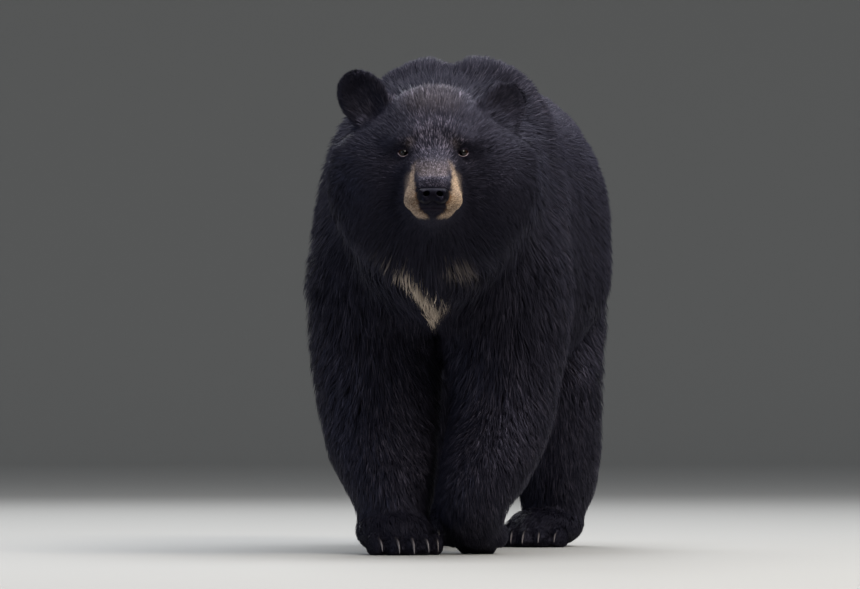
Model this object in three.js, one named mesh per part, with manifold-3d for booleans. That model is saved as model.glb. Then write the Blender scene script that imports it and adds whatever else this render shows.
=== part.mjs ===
// A walking American black bear, life-size, as a still model divided into its named parts.
//
// Lengths are in millimetres and are measured out to the tips of the coat. The bear faces -Y, its
// left side is +X and up is +Z. It is laid out from the point on the floor below its withers, and
// the whole model is then moved so that the origin lies on the floor below the middle of its box.
//
// The body is the zero surface of a blended distance field: muscle masses are eggs, legs are tapered
// tubes along a few joints, and neighbours run into each other over a blending width. Each part is a
// net of that surface at a cell size of its own, cut from its neighbours by planes.

import * as THREE from "three";
import { mergeVertices } from "three/addons/utils/BufferGeometryUtils.js";
import Module from "manifold-3d";

const wasm = await Module();
wasm.setup();

// Driving dimensions.
const withersHeight = 955;
const rumpHeight = 942;
const backHeight = 915;
const brisketHeight = 372;
const bellyClearance = 348;
const shoulderWidth = 516;
const bellyWidth = 552;
const hipWidth = 446;
const hipsBehindWithers = 800;
const eyeHeight = 753;
const eyesAheadOfWithers = 495;
const headAside = 55;
const headYaw = THREE.MathUtils.degToRad(7.8);
const eyeSpacing = 108;
const eyeballRadius = 10.5;
const skullWidth = 252;
const ruffWidth = 356;
const muzzleWidth = 103;
const muzzleReach = 150;
const noseWidth = 60;
const earHeight = 120;
const earWidth = 94;
const earSpacing = 256;
const forepawWidth = 152;
const hindpawWidth = 150;
const clawReach = 34;

// Construction values.
const gap = 0.4;
const blockSize = 4000;
const trunkBlend = 60;
const limbBlend = 55;
const headBlend = 34;
const muzzleBlend = 22;
const soleDepth = 4;

const coatBlack = new THREE.MeshStandardMaterial({ color: "#15141a", roughness: 0.85, metalness: 0 });
const coatTan = new THREE.MeshStandardMaterial({ color: "#b98e66", roughness: 0.85, metalness: 0 });
const noseSkin = new THREE.MeshStandardMaterial({ color: "#121016", roughness: 0.35, metalness: 0 });
const eyeBrown = new THREE.MeshStandardMaterial({ color: "#1e120b", roughness: 0.08, metalness: 0 });
const hornDark = new THREE.MeshStandardMaterial({ color: "#2a2420", roughness: 0.35, metalness: 0 });

// ---------------------------------------------------------------------------------------------
// Distance fields: each is a function of x, y and z that is negative inside.

/** An egg with three radii, turned by Euler angles in radians: its distance, near the surface. */
function egg(centre, radii, turn = [0, 0, 0]) {
  const place = new THREE.Matrix4().makeRotationFromEuler(new THREE.Euler(...turn));
  const into = place.setPosition(...centre).invert();
  const [rx, ry, rz] = radii;
  const p = new THREE.Vector3();
  return (x, y, z) => {
    p.set(x, y, z).applyMatrix4(into);
    const near = Math.hypot(p.x / rx, p.y / ry, p.z / rz);
    const slope = Math.hypot(p.x / (rx * rx), p.y / (ry * ry), p.z / (rz * rz));
    return slope < 1e-9 ? -Math.min(rx, ry, rz) : (near * (near - 1)) / slope;
  };
}

/** Two fields run into each other over a width. */
function meld(a, b, width) {
  const h = Math.max(width - Math.abs(a - b), 0);
  return Math.min(a, b) - (h * h) / (4 * width);
}

/** All fields of a list run into each other over a width. */
function blend(fields, width) {
  return (x, y, z) => fields.reduce((sum, field) => meld(sum, field(x, y, z), width), 1e6);
}

/** A field with a hollow field taken out of it, its rim rounded over a width. */
function hollowed(field, hollow, width) {
  return (x, y, z) => -meld(-field(x, y, z), hollow(x, y, z), width);
}

/** A round tube through joints [x, y, z, radius], its radius changing evenly between two joints. */
function limb(joints, width = 40) {
  const spans = joints.slice(1).map((end, i) => {
    const start = joints[i];
    const run = [end[0] - start[0], end[1] - start[1], end[2] - start[2]];
    return { start, run, swell: end[3] - start[3], square: run[0] ** 2 + run[1] ** 2 + run[2] ** 2 };
  });
  return (x, y, z) => {
    let sum = 1e6;
    for (const { start, run, swell, square } of spans) {
      const dx = x - start[0];
      const dy = y - start[1];
      const dz = z - start[2];
      const along = (dx * run[0] + dy * run[1] + dz * run[2]) / square;
      const t = Math.min(Math.max(along, 0), 1);
      const away = Math.hypot(dx - run[0] * t, dy - run[1] * t, dz - run[2] * t);
      sum = meld(sum, away - start[3] - swell * t, width);
    }
    return sum;
  };
}

/** A field drawn in a frame of its own, placed in the body by a matrix. */
function placed(field, matrix) {
  const into = matrix.clone().invert();
  const p = new THREE.Vector3();
  return (x, y, z) => {
    p.set(x, y, z).applyMatrix4(into);
    return field(p.x, p.y, p.z);
  };
}

// ---------------------------------------------------------------------------------------------
// Head. It is drawn in a frame of its own: the point midway between the eyes is the origin, +Y
// points back, and the frame is yawed with the head.

const headFrame = new THREE.Matrix4()
  .makeRotationZ(headYaw)
  .setPosition(headAside, -eyesAheadOfWithers, eyeHeight);
const bothSides = [-1, 1];
const eyeCentre = (side) => [(side * eyeSpacing) / 2, 11, 0];

/** Skull, brows, cheeks with their ruff, and throat. */
function craniumField() {
  const parts = [
    egg([0, 132, 26], [skullWidth / 2, 138, 104], [0.35, 0, 0]),
    egg([0, 108, -92], [128, 116, 98]),
    limb([[0, 62, -42, 86], [0, -40, -68, 46]]),
  ];
  for (const side of bothSides) {
    parts.push(egg([side * (ruffWidth / 2 - 90), 122, -50], [90, 112, 110]));
    parts.push(egg([side * 46, 22, 24], [34, 26, 15], [0, side * 0.25, 0]));
  }
  return blend(parts, headBlend);
}

/** Bridge of the nose and upper lip. */
function muzzleField() {
  const bridge = limb([[0, 18, -24, 38], [0, 38 - muzzleReach, -80, 34]]);
  const upperLip = egg([0, 70 - muzzleReach, -88], [muzzleWidth / 2, 62, 38]);
  return blend([bridge, upperLip], muzzleBlend);
}

/** Lower jaw and chin. */
function jawField() {
  return limb([[0, 44, -106, 47], [0, 47 - muzzleReach, -101, 25]]);
}

/** Nose pad with its two nostrils. */
function noseField() {
  const pad = egg([0, 16 - muzzleReach, -85], [noseWidth / 2, 17, 17]);
  const nostril = (side) => egg([side * 12, -muzzleReach, -86], [5, 9, 5], [0, side * 0.5, 0]);
  const nostrils = bothSides.map(nostril);
  return hollowed(pad, blend(nostrils, 1), 3);
}

/** One ear in a frame of its own, hollow to -Y: a leaf with a cup taken out of its front. */
function earField() {
  const tip = egg([0, 4, 0], [earWidth / 2, 23, earHeight / 2]);
  const root = egg([0, 8, -34], [earWidth / 2, 25, 32]);
  const cup = egg([0, -21, -4], [earWidth / 2 - 9, 19, earHeight / 2 - 8]);
  return hollowed(blend([tip, root], 10), cup, 6);
}

/**
 * Matrix of an ear this far behind and above the eyes: lean tips it outwards, fold lays it back and
 * turn swings its hollow outwards.
 */
function earFrame(side, behind, above, lean, fold, turn) {
  return new THREE.Matrix4()
    .makeRotationFromEuler(new THREE.Euler(-fold, side * lean, side * turn, "ZYX"))
    .setPosition((side * earSpacing) / 2, behind, above)
    .premultiply(headFrame);
}

const inHead = (field) => placed(field, headFrame);
const cranium = inHead(craniumField());
const muzzle = inHead(muzzleField());
const jaw = inHead(jawField());
const nose = inHead(noseField());
const ear = earField();
const earFrames = {
  right: earFrame(-1, 116, 101, 0.58, 0, 0.05),
  left: earFrame(1, 120, 84, 0.85, 0.3, 0.4),
};
const head = (x, y, z) => meld(cranium(x, y, z), meld(muzzle(x, y, z), jaw(x, y, z), 12), headBlend);

// ---------------------------------------------------------------------------------------------
// Trunk, neck and tail.

/**
 * A long mass along Y through stations [y, z, half width, half height], with round ends. Its sections
 * are squarish ovals, and their sizes run smoothly from one station to the next.
 */
function hull(stations, frontReach, rearReach, squareness) {
  const last = stations.length - 1;
  const slopes = stations.map((_, i) => {
    const before = stations[Math.max(i - 1, 0)];
    const after = stations[Math.min(i + 1, last)];
    return before.map((value, column) => (after[column] - value) / (after[0] - before[0]));
  });
  return (x, y, z) => {
    const at = Math.min(Math.max(y, stations[0][0]), stations[last][0]);
    let i = 0;
    while (i < last - 1 && at > stations[i + 1][0]) i++;
    const step = stations[i + 1][0] - stations[i][0];
    const t = (at - stations[i][0]) / step;
    const value = (column) =>
      (1 + 2 * t) * (1 - t) ** 2 * stations[i][column] +
      t * (1 - t) ** 2 * step * slopes[i][column] +
      t * t * (3 - 2 * t) * stations[i + 1][column] +
      t * t * (t - 1) * step * slopes[i + 1][column];
    const sizes = [value(2), y < at ? frontReach : rearReach, value(3)];
    const shares = [x, y - at, z - value(1)].map((offset, axis) => Math.abs(offset) / sizes[axis]);
    const powers = shares.reduce((sum, share) => sum + share ** squareness, 0);
    const near = Math.max(powers ** (1 / squareness), 0.05);
    const steepness = shares.map((share, axis) => (share / near) ** (squareness - 1) / sizes[axis]);
    return (near - 1) / Math.hypot(...steepness);
  };
}

/** Neck with its thick coat, from behind the ears down into the shoulders, and the throat below it. */
function neckField() {
  const behindEars = new THREE.Vector3(0, 180, -30).applyMatrix4(headFrame);
  const throat = new THREE.Vector3(0, 215, -105).applyMatrix4(headFrame);
  return blend(
    [
      limb([[...behindEars.toArray(), 158], [25, -175, 708, 192], [5, -20, 700, 232]], 60),
      egg(throat.toArray(), [145, 170, 118]),
      egg([10, -205, 570], [145, 175, 118]),
    ],
    60,
  );
}

/** Rib cage, barrel and hindquarters as one hull, with the brisket and the two shoulder blades. */
function trunkField() {
  const span = (y, top, bottom, width) => [y, (top + bottom) / 2, width / 2, (top - bottom) / 2];
  const mass = hull(
    [
      span(-60, withersHeight - 60, brisketHeight + 70, shoulderWidth - 110),
      span(80, withersHeight - 14, brisketHeight, shoulderWidth - 52),
      span(270, (withersHeight + backHeight) / 2, (brisketHeight + bellyClearance) / 2 + 6, shoulderWidth - 14),
      span(470, backHeight, bellyClearance, bellyWidth),
      span(650, backHeight + 10, bellyClearance + 18, (bellyWidth + hipWidth) / 2 + 18),
      span(hipsBehindWithers, rumpHeight, brisketHeight + 38, hipWidth),
    ],
    170,
    266,
    2.15,
  );
  const bladeHalf = 172;
  return blend(
    [
      mass,
      egg([0, -100, 588], [165, 158, 148]),
      egg([0, 500, 524], [264, 310, 158]),
      egg([-42, 90, withersHeight - bladeHalf], [112, 165, bladeHalf]),
      egg([82, 90, withersHeight + 3 - bladeHalf], [120, 165, bladeHalf]),
    ],
    trunkBlend,
  );
}

const tail = limb([[0, 1016, 775, 34], [0, 1060, 716, 30], [0, 1076, 662, 19]]);
const neck = neckField();
const trunk = trunkField();
const torso = (x, y, z) => meld(neck(x, y, z), trunk(x, y, z), trunkBlend);

// ---------------------------------------------------------------------------------------------
// Paws. A paw is drawn in a frame of its own: the middle of its sole is the origin and its toes
// point to -Y. Five toes sit on an arc, the middle one foremost.

const toeNumbers = [-2, -1, 0, 1, 2];
const toeSpacing = 0.19;

/** Middle of a toe of a paw with this width and length. */
function toePlace(number, width, length) {
  return [number * width * toeSpacing, -length * 0.42 + number * number * length * 0.035, 24];
}

/** Pad of the foot and five toes, sunk a little so that the floor cuts a flat sole. */
function pawField(width, length, height) {
  const toes = toeNumbers.map((number) => {
    const [x, y, z] = toePlace(number, width, length);
    return egg([x, y, z - soleDepth], [width * 0.125, 30, 27]);
  });
  const foot = egg([0, length * 0.06, height / 2 - soleDepth], [width / 2, length / 2, height / 2]);
  return blend([foot, ...toes], 14);
}

/** Tapered claw that curves down from its toe: a cone bent along an arc, thickened by a margin. */
function clawGeometry(radius, reach, margin) {
  const arc = 1.2;
  const sweep = reach / arc;
  const claw = new THREE.ConeGeometry(1, 1, 5, 2);
  const at = claw.getAttribute("position");
  for (let i = 0; i < at.count; i++) {
    const along = at.getY(i) + 0.5;
    const across = -at.getX(i) * (radius * 0.7 + margin);
    const rise = at.getZ(i) * (radius + margin);
    const bend = along * arc;
    const y = margin * (1 - along) - (sweep + rise) * Math.sin(bend);
    at.setXYZ(i, across, y, rise * Math.cos(bend) - sweep * (1 - Math.cos(bend)));
  }
  return claw;
}

// ---------------------------------------------------------------------------------------------
// Legs: joints from the shoulder or hip down, then the paw's place, yaw and pitch.

const legs = {
  fore_right: {
    joints: [
      [-132, 18, 640, 104],
      [-130, -14, 520, 118],
      [-122, 4, 410, 127],
      [-121, 14, 300, 113],
      [-110, 2, 205, 97],
      [-92, -14, 140, 71],
      [-86, -22, 96, 68],
    ],
    masses: [[[-126, -35, 530], [112, 148, 155]]],
    paw: { at: [-74, -70, 0], yaw: 0.45, pitch: 0, width: forepawWidth, length: 182, height: 96 },
  },
  fore_left: {
    joints: [
      [140, 8, 640, 108],
      [132, -18, 520, 119],
      [124, -6, 410, 123],
      [125, -4, 288, 93],
      [112, -26, 223, 82],
      [94, -50, 168, 74],
      [72, -62, 116, 68],
    ],
    masses: [[[132, -40, 530], [116, 148, 155]]],
    paw: { at: [68, -8, 90], yaw: -0.1, pitch: 2.2, width: 128, length: 170, height: 84 },
  },
  hind_left: {
    joints: [
      [98, 830, 560, 130],
      [112, 765, 430, 114],
      [128, 718, 345, 98],
      [131, 752, 265, 87],
      [132, 800, 190, 78],
      [124, 838, 125, 69],
      [116, 842, 68, 56],
    ],
    masses: [[[108, 800, 490], [106, 180, 185]]],
    paw: { at: [104, 765, 0], yaw: -0.2, pitch: 0, width: hindpawWidth, length: 222, height: 88 },
  },
  hind_right: {
    joints: [
      [-98, 850, 560, 130],
      [-112, 815, 430, 114],
      [-128, 795, 350, 98],
      [-131, 850, 265, 87],
      [-130, 905, 190, 78],
      [-122, 946, 125, 69],
      [-114, 956, 68, 56],
    ],
    masses: [[[-108, 830, 490], [106, 180, 185]]],
    paw: { at: [-102, 880, 0], yaw: 0.2, pitch: 0, width: hindpawWidth, length: 222, height: 88 },
  },
};

/** Matrix that places a paw's own frame in the body. */
function pawFrame({ at, yaw, pitch }) {
  return new THREE.Matrix4()
    .makeRotationFromEuler(new THREE.Euler(pitch, 0, yaw, "ZYX"))
    .setPosition(...at);
}

for (const leg of Object.values(legs)) {
  const { width, length, height } = leg.paw;
  leg.frame = pawFrame(leg.paw);
  leg.shaft = blend([limb(leg.joints, 50), ...leg.masses.map(([centre, radii]) => egg(centre, radii))], 50);
  leg.foot = placed(pawField(width, length, height), leg.frame);
  leg.whole = (x, y, z) => meld(leg.shaft(x, y, z), leg.foot(x, y, z), 30);
}

const allLegs = Object.values(legs).map((leg) => leg.whole);
const nearestLeg = (x, y, z) => Math.min(...allLegs.map((leg) => leg(x, y, z)));
const body = (x, y, z) => meld(torso(x, y, z), nearestLeg(x, y, z), limbBlend);
const bodyAndHead = (x, y, z) => meld(body(x, y, z), head(x, y, z), 60);

// ---------------------------------------------------------------------------------------------
// From fields to solids.

/** A solid from a geometry, its shared corners merged. */
function solidOf(geometry) {
  const bare = geometry.clone();
  bare.deleteAttribute("normal");
  bare.deleteAttribute("uv");
  const merged = mergeVertices(bare, 1e-4);
  return new wasm.Manifold(
    new wasm.Mesh({
      numProp: 3,
      vertProperties: new Float32Array(merged.attributes.position.array),
      triVerts: new Uint32Array(merged.index.array),
    }),
  );
}

/** A geometry from a solid. */
function geometryOf(solid) {
  const { numProp, vertProperties, triVerts } = solid.getMesh();
  const places = new Float32Array((vertProperties.length / numProp) * 3);
  for (let i = 0; i < places.length / 3; i++) {
    places.set(vertProperties.subarray(i * numProp, i * numProp + 3), i * 3);
  }
  const geometry = new THREE.BufferGeometry();
  geometry.setAttribute("position", new THREE.BufferAttribute(places, 3));
  geometry.setIndex(new THREE.BufferAttribute(new Uint32Array(triVerts), 1));
  geometry.computeVertexNormals();
  return geometry;
}

/** A point moved along the field's slope onto its zero surface, in three short steps. */
function ontoSurface(field, point, longest) {
  const h = 0.5;
  for (let step = 0; step < 3; step++) {
    const [x, y, z] = point;
    const value = field(x, y, z);
    const slope = [
      (field(x + h, y, z) - field(x - h, y, z)) / (2 * h),
      (field(x, y + h, z) - field(x, y - h, z)) / (2 * h),
      (field(x, y, z + h) - field(x, y, z - h)) / (2 * h),
    ];
    const steep = Math.max(slope[0] ** 2 + slope[1] ** 2 + slope[2] ** 2, 0.05);
    const move = Math.min(Math.max(-value / steep, -longest), longest);
    for (let axis = 0; axis < 3; axis++) point[axis] += move * slope[axis];
  }
  return point;
}

/**
 * Closed net of the zero surface of a field inside a box, at one cell size or one for each axis. Each
 * cell that the surface crosses gets one vertex, and each grid edge that it crosses gets two triangles
 * between the four cells round it.
 */
function netOf(field, low, high, cells) {
  const walls = (x, y, z) =>
    Math.max(low[0] - x, x - high[0], low[1] - y, y - high[1], low[2] - z, z - high[2]);
  const inside = (x, y, z) => Math.max(field(x, y, z), walls(x, y, z));
  const cell = Array.isArray(cells) ? cells : [cells, cells, cells];
  const start = low.map((value, axis) => value - 1.5 * cell[axis]);
  const counts = low.map((value, axis) => Math.ceil((high[axis] - value) / cell[axis]) + 4);
  const strides = [1, counts[0], counts[0] * counts[1]];
  const total = counts[0] * counts[1] * counts[2];
  const values = new Float64Array(total);
  const gridPoint = (index) => [
    index % counts[0],
    Math.floor(index / counts[0]) % counts[1],
    Math.floor(index / strides[2]),
  ];
  for (let index = 0; index < total; index++) {
    const [i, j, k] = gridPoint(index);
    values[index] = inside(start[0] + i * cell[0], start[1] + j * cell[1], start[2] + k * cell[2]);
  }
  const cellVertex = new Map();
  const places = [];
  const vertexOf = (index) => {
    if (cellVertex.has(index)) return cellVertex.get(index);
    const corner = gridPoint(index);
    const sum = [0, 0, 0];
    let crossings = 0;
    for (let axis = 0; axis < 3; axis++) {
      for (let side = 0; side < 4; side++) {
        const one = (axis + 1) % 3;
        const two = (axis + 2) % 3;
        const offset = [0, 0, 0];
        offset[one] = side & 1;
        offset[two] = side >> 1;
        const from = index + offset[one] * strides[one] + offset[two] * strides[two];
        const a = values[from];
        const b = values[from + strides[axis]];
        if (a < 0 === b < 0) continue;
        offset[axis] = a / (a - b);
        for (let i = 0; i < 3; i++) sum[i] += offset[i];
        crossings++;
      }
    }
    const mean = sum.map((value, i) => start[i] + (corner[i] + value / crossings) * cell[i]);
    places.push(...ontoSurface(inside, mean, Math.min(...cell) / 3));
    cellVertex.set(index, places.length / 3 - 1);
    return places.length / 3 - 1;
  };
  const faces = [];
  for (let index = 0; index < total; index++) {
    const at = gridPoint(index);
    for (let axis = 0; axis < 3; axis++) {
      const one = (axis + 1) % 3;
      const two = (axis + 2) % 3;
      if (at[axis] + 1 >= counts[axis] || at[one] < 1 || at[two] < 1) continue;
      const a = values[index];
      const b = values[index + strides[axis]];
      if (a < 0 === b < 0) continue;
      const ring = [index - strides[one] - strides[two], index - strides[two], index, index - strides[one]];
      const [p, q, r, s] = (a < 0 ? ring : ring.reverse()).map(vertexOf);
      faces.push(p, q, r, p, r, s);
    }
  }
  const geometry = new THREE.BufferGeometry();
  geometry.setAttribute("position", new THREE.Float32BufferAttribute(places, 3));
  geometry.setIndex(faces);
  return solidOf(geometry);
}

/** Cutting plane: the point it goes through and the direction it faces, in the body's frame. */
function plane(point, facing, frame = new THREE.Matrix4()) {
  return {
    point: new THREE.Vector3(...point).applyMatrix4(frame),
    facing: new THREE.Vector3(...facing).transformDirection(frame),
  };
}

const turned = ({ point, facing }) => ({ point, facing: facing.clone().negate() });

/** Block that fills all that lies on the far side of a plane, starting half a gap before it. */
function blockBeyond({ point, facing }) {
  const block = new THREE.BoxGeometry(blockSize, blockSize, blockSize);
  block.translate(0, 0, (blockSize - gap) / 2);
  block.applyQuaternion(new THREE.Quaternion().setFromUnitVectors(new THREE.Vector3(0, 0, 1), facing));
  block.translate(point.x, point.y, point.z);
  return solidOf(block);
}

/** What is left of a solid on the near side of each plane. */
function trimmed(solid, planes) {
  return planes.reduce((rest, cut) => rest.subtract(blockBeyond(cut)), solid);
}

/** What is left of a solid without the region on the near side of all the planes. */
function without(solid, planes) {
  const moved = planes.map(({ point, facing }) => ({
    point: point.clone().addScaledVector(facing, gap),
    facing,
  }));
  return solid.subtract(trimmed(solidOf(new THREE.BoxGeometry(blockSize, blockSize, blockSize)), moved));
}

/** Adds a solid to the bear as a named mesh. */
function addPart(name, solid, material) {
  const mesh = new THREE.Mesh(geometryOf(solid), material);
  mesh.name = name;
  bear.add(mesh);
}

// ---------------------------------------------------------------------------------------------
// Cutting planes. Each faces away from the part that it is named for.

const headPlane = plane([0, 190, 0], [0, 0.97, -0.24], headFrame);
const muzzlePlane = plane([0, -20, -20], [0, 0.985, 0.17], headFrame);
const jawPlane = plane([0, -60, -106], [0, 0.06, 1], headFrame);
const neckPlane = plane([0, -130, 760], [0, 0.91, -0.41]);
const chestPlane = plane([0, 270, 0], [0, 1, 0]);
const bellyPlane = plane([0, 610, 0], [0, 1, 0]);
const floorPlane = plane([0, 0, 0], [0, 0, -1]);
const foreSplit = (side) => plane([side * 78, 0, 400], [side * 0.9, 0, -0.44]);
const hindSplit = (side) => plane([side * 70, 0, 400], [side * 0.88, 0, -0.47]);
const midPlane = (side) => plane([0, 0, 0], [-side, 0, 0]);
const undersidePlane = plane([0, 0, 392], [0, 0, -1]);
const forearmPlane = plane([0, 0, 338], [0, 0, 1]);
const shankPlane = plane([0, 0, 318], [0, 0, 1]);
const plantedPawPlane = plane([0, 0, 84], [0, 0, 1]);
const liftedPawPlane = plane([76, -62, 118], [0, -0.5, 0.866]);

// ---------------------------------------------------------------------------------------------
// Parts.

const bear = new THREE.Group();

/** Net of the head and what joins it, swollen by a margin. */
const headNet = (margin) => {
  const field = (x, y, z) => bodyAndHead(x, y, z) - margin;
  return netOf(field, [-180, -700, 540], [290, -200, 920], 38);
};

/** Net of the hindquarters, swollen by a margin. */
const rumpNet = (margin) => {
  const field = (x, y, z) => body(x, y, z) - margin;
  return netOf(field, [-330, 580, 300], [330, 1120, 1000], 70);
};

function addHead() {
  let skull = headNet(0);
  for (const [name, side] of [["right", -1], ["left", 1]]) {
    const place = new THREE.Matrix4().makeTranslation(...eyeCentre(side)).premultiply(headFrame);
    const ball = new THREE.SphereGeometry(eyeballRadius, 9, 7).applyMatrix4(place);
    const bed = new THREE.SphereGeometry(eyeballRadius + gap, 9, 7).applyMatrix4(place);
    const opening = new THREE.SphereGeometry(1, 8, 6).scale(15, 24, 10).translate(0, -22, 0);
    addPart("eye_" + name, solidOf(ball), eyeBrown);
    skull = skull.subtract(solidOf(bed)).subtract(solidOf(opening.applyMatrix4(place)));
  }
  addPart("head", trimmed(skull, [headPlane, turned(muzzlePlane)]), coatBlack);

  const face = netOf(head, [-60, -700, 600], [160, -480, 800], 21.5);
  const noseNet = (margin) => {
    const field = (x, y, z) => nose(x, y, z) - margin;
    return netOf(field, [-20, -700, 640], [120, -580, 700], 9);
  };
  const nosePad = noseNet(0);
  const noseBed = noseNet(2 * gap);
  addPart("nose", nosePad, noseSkin);
  addPart("muzzle", trimmed(face, [muzzlePlane, turned(jawPlane)]).subtract(noseBed), coatTan);
  addPart("lower_jaw", trimmed(face, [muzzlePlane, jawPlane]).subtract(noseBed), coatTan);
}

function addEars() {
  const blade = netOf(ear, [-60, -30, -70], [60, 30, 70], [17, 10, 17]);
  const bed = headNet(2 * gap);
  for (const [name, frame] of Object.entries(earFrames)) {
    addPart("ear_" + name, blade.transform(frame.elements).subtract(bed), coatBlack);
  }
}

/** Planes round the trunk where it lies between two legs. */
const trunkBetween = (split) => [split(-1), split(1), undersidePlane];

function addTrunk() {
  const neckNet = netOf(bodyAndHead, [-330, -520, 360], [330, 20, 960], 64);
  addPart("neck", trimmed(neckNet, [turned(headPlane), neckPlane]), coatBlack);
  const chestNet = netOf(body, [-330, -420, 300], [330, 300, 1000], 70);
  const chestCuts = [turned(neckPlane), chestPlane, ...trunkBetween(foreSplit)];
  addPart("chest", trimmed(chestNet, chestCuts), coatBlack);
  const bellyNet = netOf(body, [-330, 240, 300], [330, 650, 1000], [76, 95, 72]);
  addPart("belly", trimmed(bellyNet, [turned(chestPlane), bellyPlane]), coatBlack);
  addPart("rump", trimmed(rumpNet(0), [turned(bellyPlane), ...trunkBetween(hindSplit)]), coatBlack);
  const tailNet = netOf(tail, [-100, 960, 600], [100, 1140, 830], 28);
  addPart("tail", tailNet.subtract(rumpNet(2 * gap)), coatBlack);
}

// A claw's thickness and reach, how far it sits ahead of and above its toe, and how steeply it droops.
const plantedForeClaw = { radius: 8, reach: clawReach, ahead: 21, raised: 6, droop: 0.3 };
const liftedForeClaw = { radius: 8, reach: clawReach, ahead: 16, raised: -6, droop: 0.9 };
const hindClaw = { radius: 7, reach: clawReach * 0.8, ahead: 21, raised: 6, droop: 0.35 };

/** Adds the five claws of a paw and returns the paw with their beds taken out of it. */
function addClaws(name, leg, claw, pawSolid) {
  let rest = pawSolid;
  for (const number of toeNumbers) {
    const [x, y, z] = toePlace(number, leg.paw.width, leg.paw.length);
    const place = new THREE.Matrix4().makeRotationX(claw.droop);
    place.setPosition(x, y - claw.ahead, z + claw.raised).premultiply(leg.frame);
    const horn = clawGeometry(claw.radius, claw.reach, 0).applyMatrix4(place);
    const bed = clawGeometry(claw.radius, claw.reach, gap).applyMatrix4(place);
    addPart("claw_" + name + "_" + (number + 3), solidOf(horn), hornDark);
    rest = rest.subtract(solidOf(bed));
  }
  return rest;
}

function addForelegs() {
  for (const [name, side] of [["right", -1], ["left", 1]]) {
    const leg = legs["fore_" + name];
    const upper = netOf(body, [-330, -320, 280], [330, 300, 800], 64);
    const cuts = [chestPlane, turned(neckPlane), turned(forearmPlane), midPlane(side)];
    addPart("upper_foreleg_" + name, without(trimmed(upper, cuts), trunkBetween(foreSplit)), coatBlack);
    const pawPlane = side < 0 ? plantedPawPlane : liftedPawPlane;
    const lower = netOf(leg.whole, [-330, -320, -60], [330, 300, 400], [44, 44, 60]);
    const armCuts = [forearmPlane, turned(pawPlane), midPlane(side)];
    addPart("forearm_" + name, trimmed(lower, armCuts), coatBlack);
    const foot = netOf(leg.whole, [-330, -320, -60], [330, 300, 200], 31);
    const claw = side < 0 ? plantedForeClaw : liftedForeClaw;
    const paw = addClaws("fore_" + name, leg, claw, trimmed(foot, [pawPlane, floorPlane]));
    addPart("forepaw_" + name, paw, coatBlack);
  }
}

function addHindlegs() {
  for (const [name, side] of [["right", -1], ["left", 1]]) {
    const leg = legs["hind_" + name];
    const upper = netOf(body, [-330, 540, 260], [330, 1120, 800], 64);
    const cuts = [turned(bellyPlane), turned(shankPlane), midPlane(side)];
    addPart("thigh_" + name, without(trimmed(upper, cuts), trunkBetween(hindSplit)), coatBlack);
    const lower = netOf(leg.whole, [-330, 500, -60], [330, 1120, 400], [45, 45, 62]);
    addPart("shank_" + name, trimmed(lower, [shankPlane, turned(plantedPawPlane)]), coatBlack);
    const foot = netOf(leg.whole, [-330, 500, -60], [330, 1120, 200], 32);
    const paw = addClaws("hind_" + name, leg, hindClaw, trimmed(foot, [plantedPawPlane, floorPlane]));
    addPart("hindpaw_" + name, paw, coatBlack);
  }
}

addHead();
addEars();
addTrunk();
addForelegs();
addHindlegs();

const box = new THREE.Box3().setFromObject(bear);
const middle = box.getCenter(new THREE.Vector3());
bear.position.set(-middle.x, -middle.y, -box.min.z);

const model = new THREE.Group();
model.add(bear);

export default model;
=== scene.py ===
"""An American black bear walking: one skin, its coat in joined tufts, eyes, nose and claws."""

import math

import bpy
import numpy as np
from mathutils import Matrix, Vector


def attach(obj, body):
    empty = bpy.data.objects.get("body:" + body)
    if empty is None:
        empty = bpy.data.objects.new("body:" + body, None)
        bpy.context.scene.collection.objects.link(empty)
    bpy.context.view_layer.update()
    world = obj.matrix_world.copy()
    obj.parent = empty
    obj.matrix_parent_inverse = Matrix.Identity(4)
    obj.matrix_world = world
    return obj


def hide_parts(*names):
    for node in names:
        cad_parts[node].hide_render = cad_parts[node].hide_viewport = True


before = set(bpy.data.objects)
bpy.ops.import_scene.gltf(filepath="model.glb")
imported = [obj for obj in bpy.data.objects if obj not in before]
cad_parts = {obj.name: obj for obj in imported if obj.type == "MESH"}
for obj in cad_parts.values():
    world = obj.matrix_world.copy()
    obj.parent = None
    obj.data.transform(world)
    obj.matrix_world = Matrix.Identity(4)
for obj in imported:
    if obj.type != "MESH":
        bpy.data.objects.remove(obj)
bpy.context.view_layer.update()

# Millimetres in the body's own frame: the floor point below the withers is the origin, the bear
# faces -Y, its left is +X and up is +Z. SHIFT takes it to the frame of the CAD model.
SHIFT = np.array([0.0, -226.5605, -0.2], np.float32)
MM = 0.001

HEAD_YAW = math.radians(7.8)
HEAD_AT = (55.0, -495.0, 753.0)
EYE_SPACING = 108.0
EYE_DEPTH = 11.0
EYE_RADIUS = 10.5
SIDES = (-1, 1)


# ---- Distance fields in numpy. A field takes points (n, 3) and returns n values, negative inside.


def euler(x, y, z, order="XYZ"):
    """Rotation matrix: the turns about X, Y and Z multiplied in the written order."""
    cx, sx, cy, sy, cz, sz = (
        math.cos(x), math.sin(x), math.cos(y), math.sin(y), math.cos(z), math.sin(z)
    )
    turns = {
        "X": np.array([[1, 0, 0], [0, cx, -sx], [0, sx, cx]]),
        "Y": np.array([[cy, 0, sy], [0, 1, 0], [-sy, 0, cy]]),
        "Z": np.array([[cz, -sz, 0], [sz, cz, 0], [0, 0, 1]]),
    }
    return turns[order[0]] @ turns[order[1]] @ turns[order[2]]


def into(points, turn, at):
    """Points of the outer frame in a frame that is turned and then moved: turn^T (p - at)."""
    return (points - np.asarray(at, np.float32)) @ turn.astype(np.float32)


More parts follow.
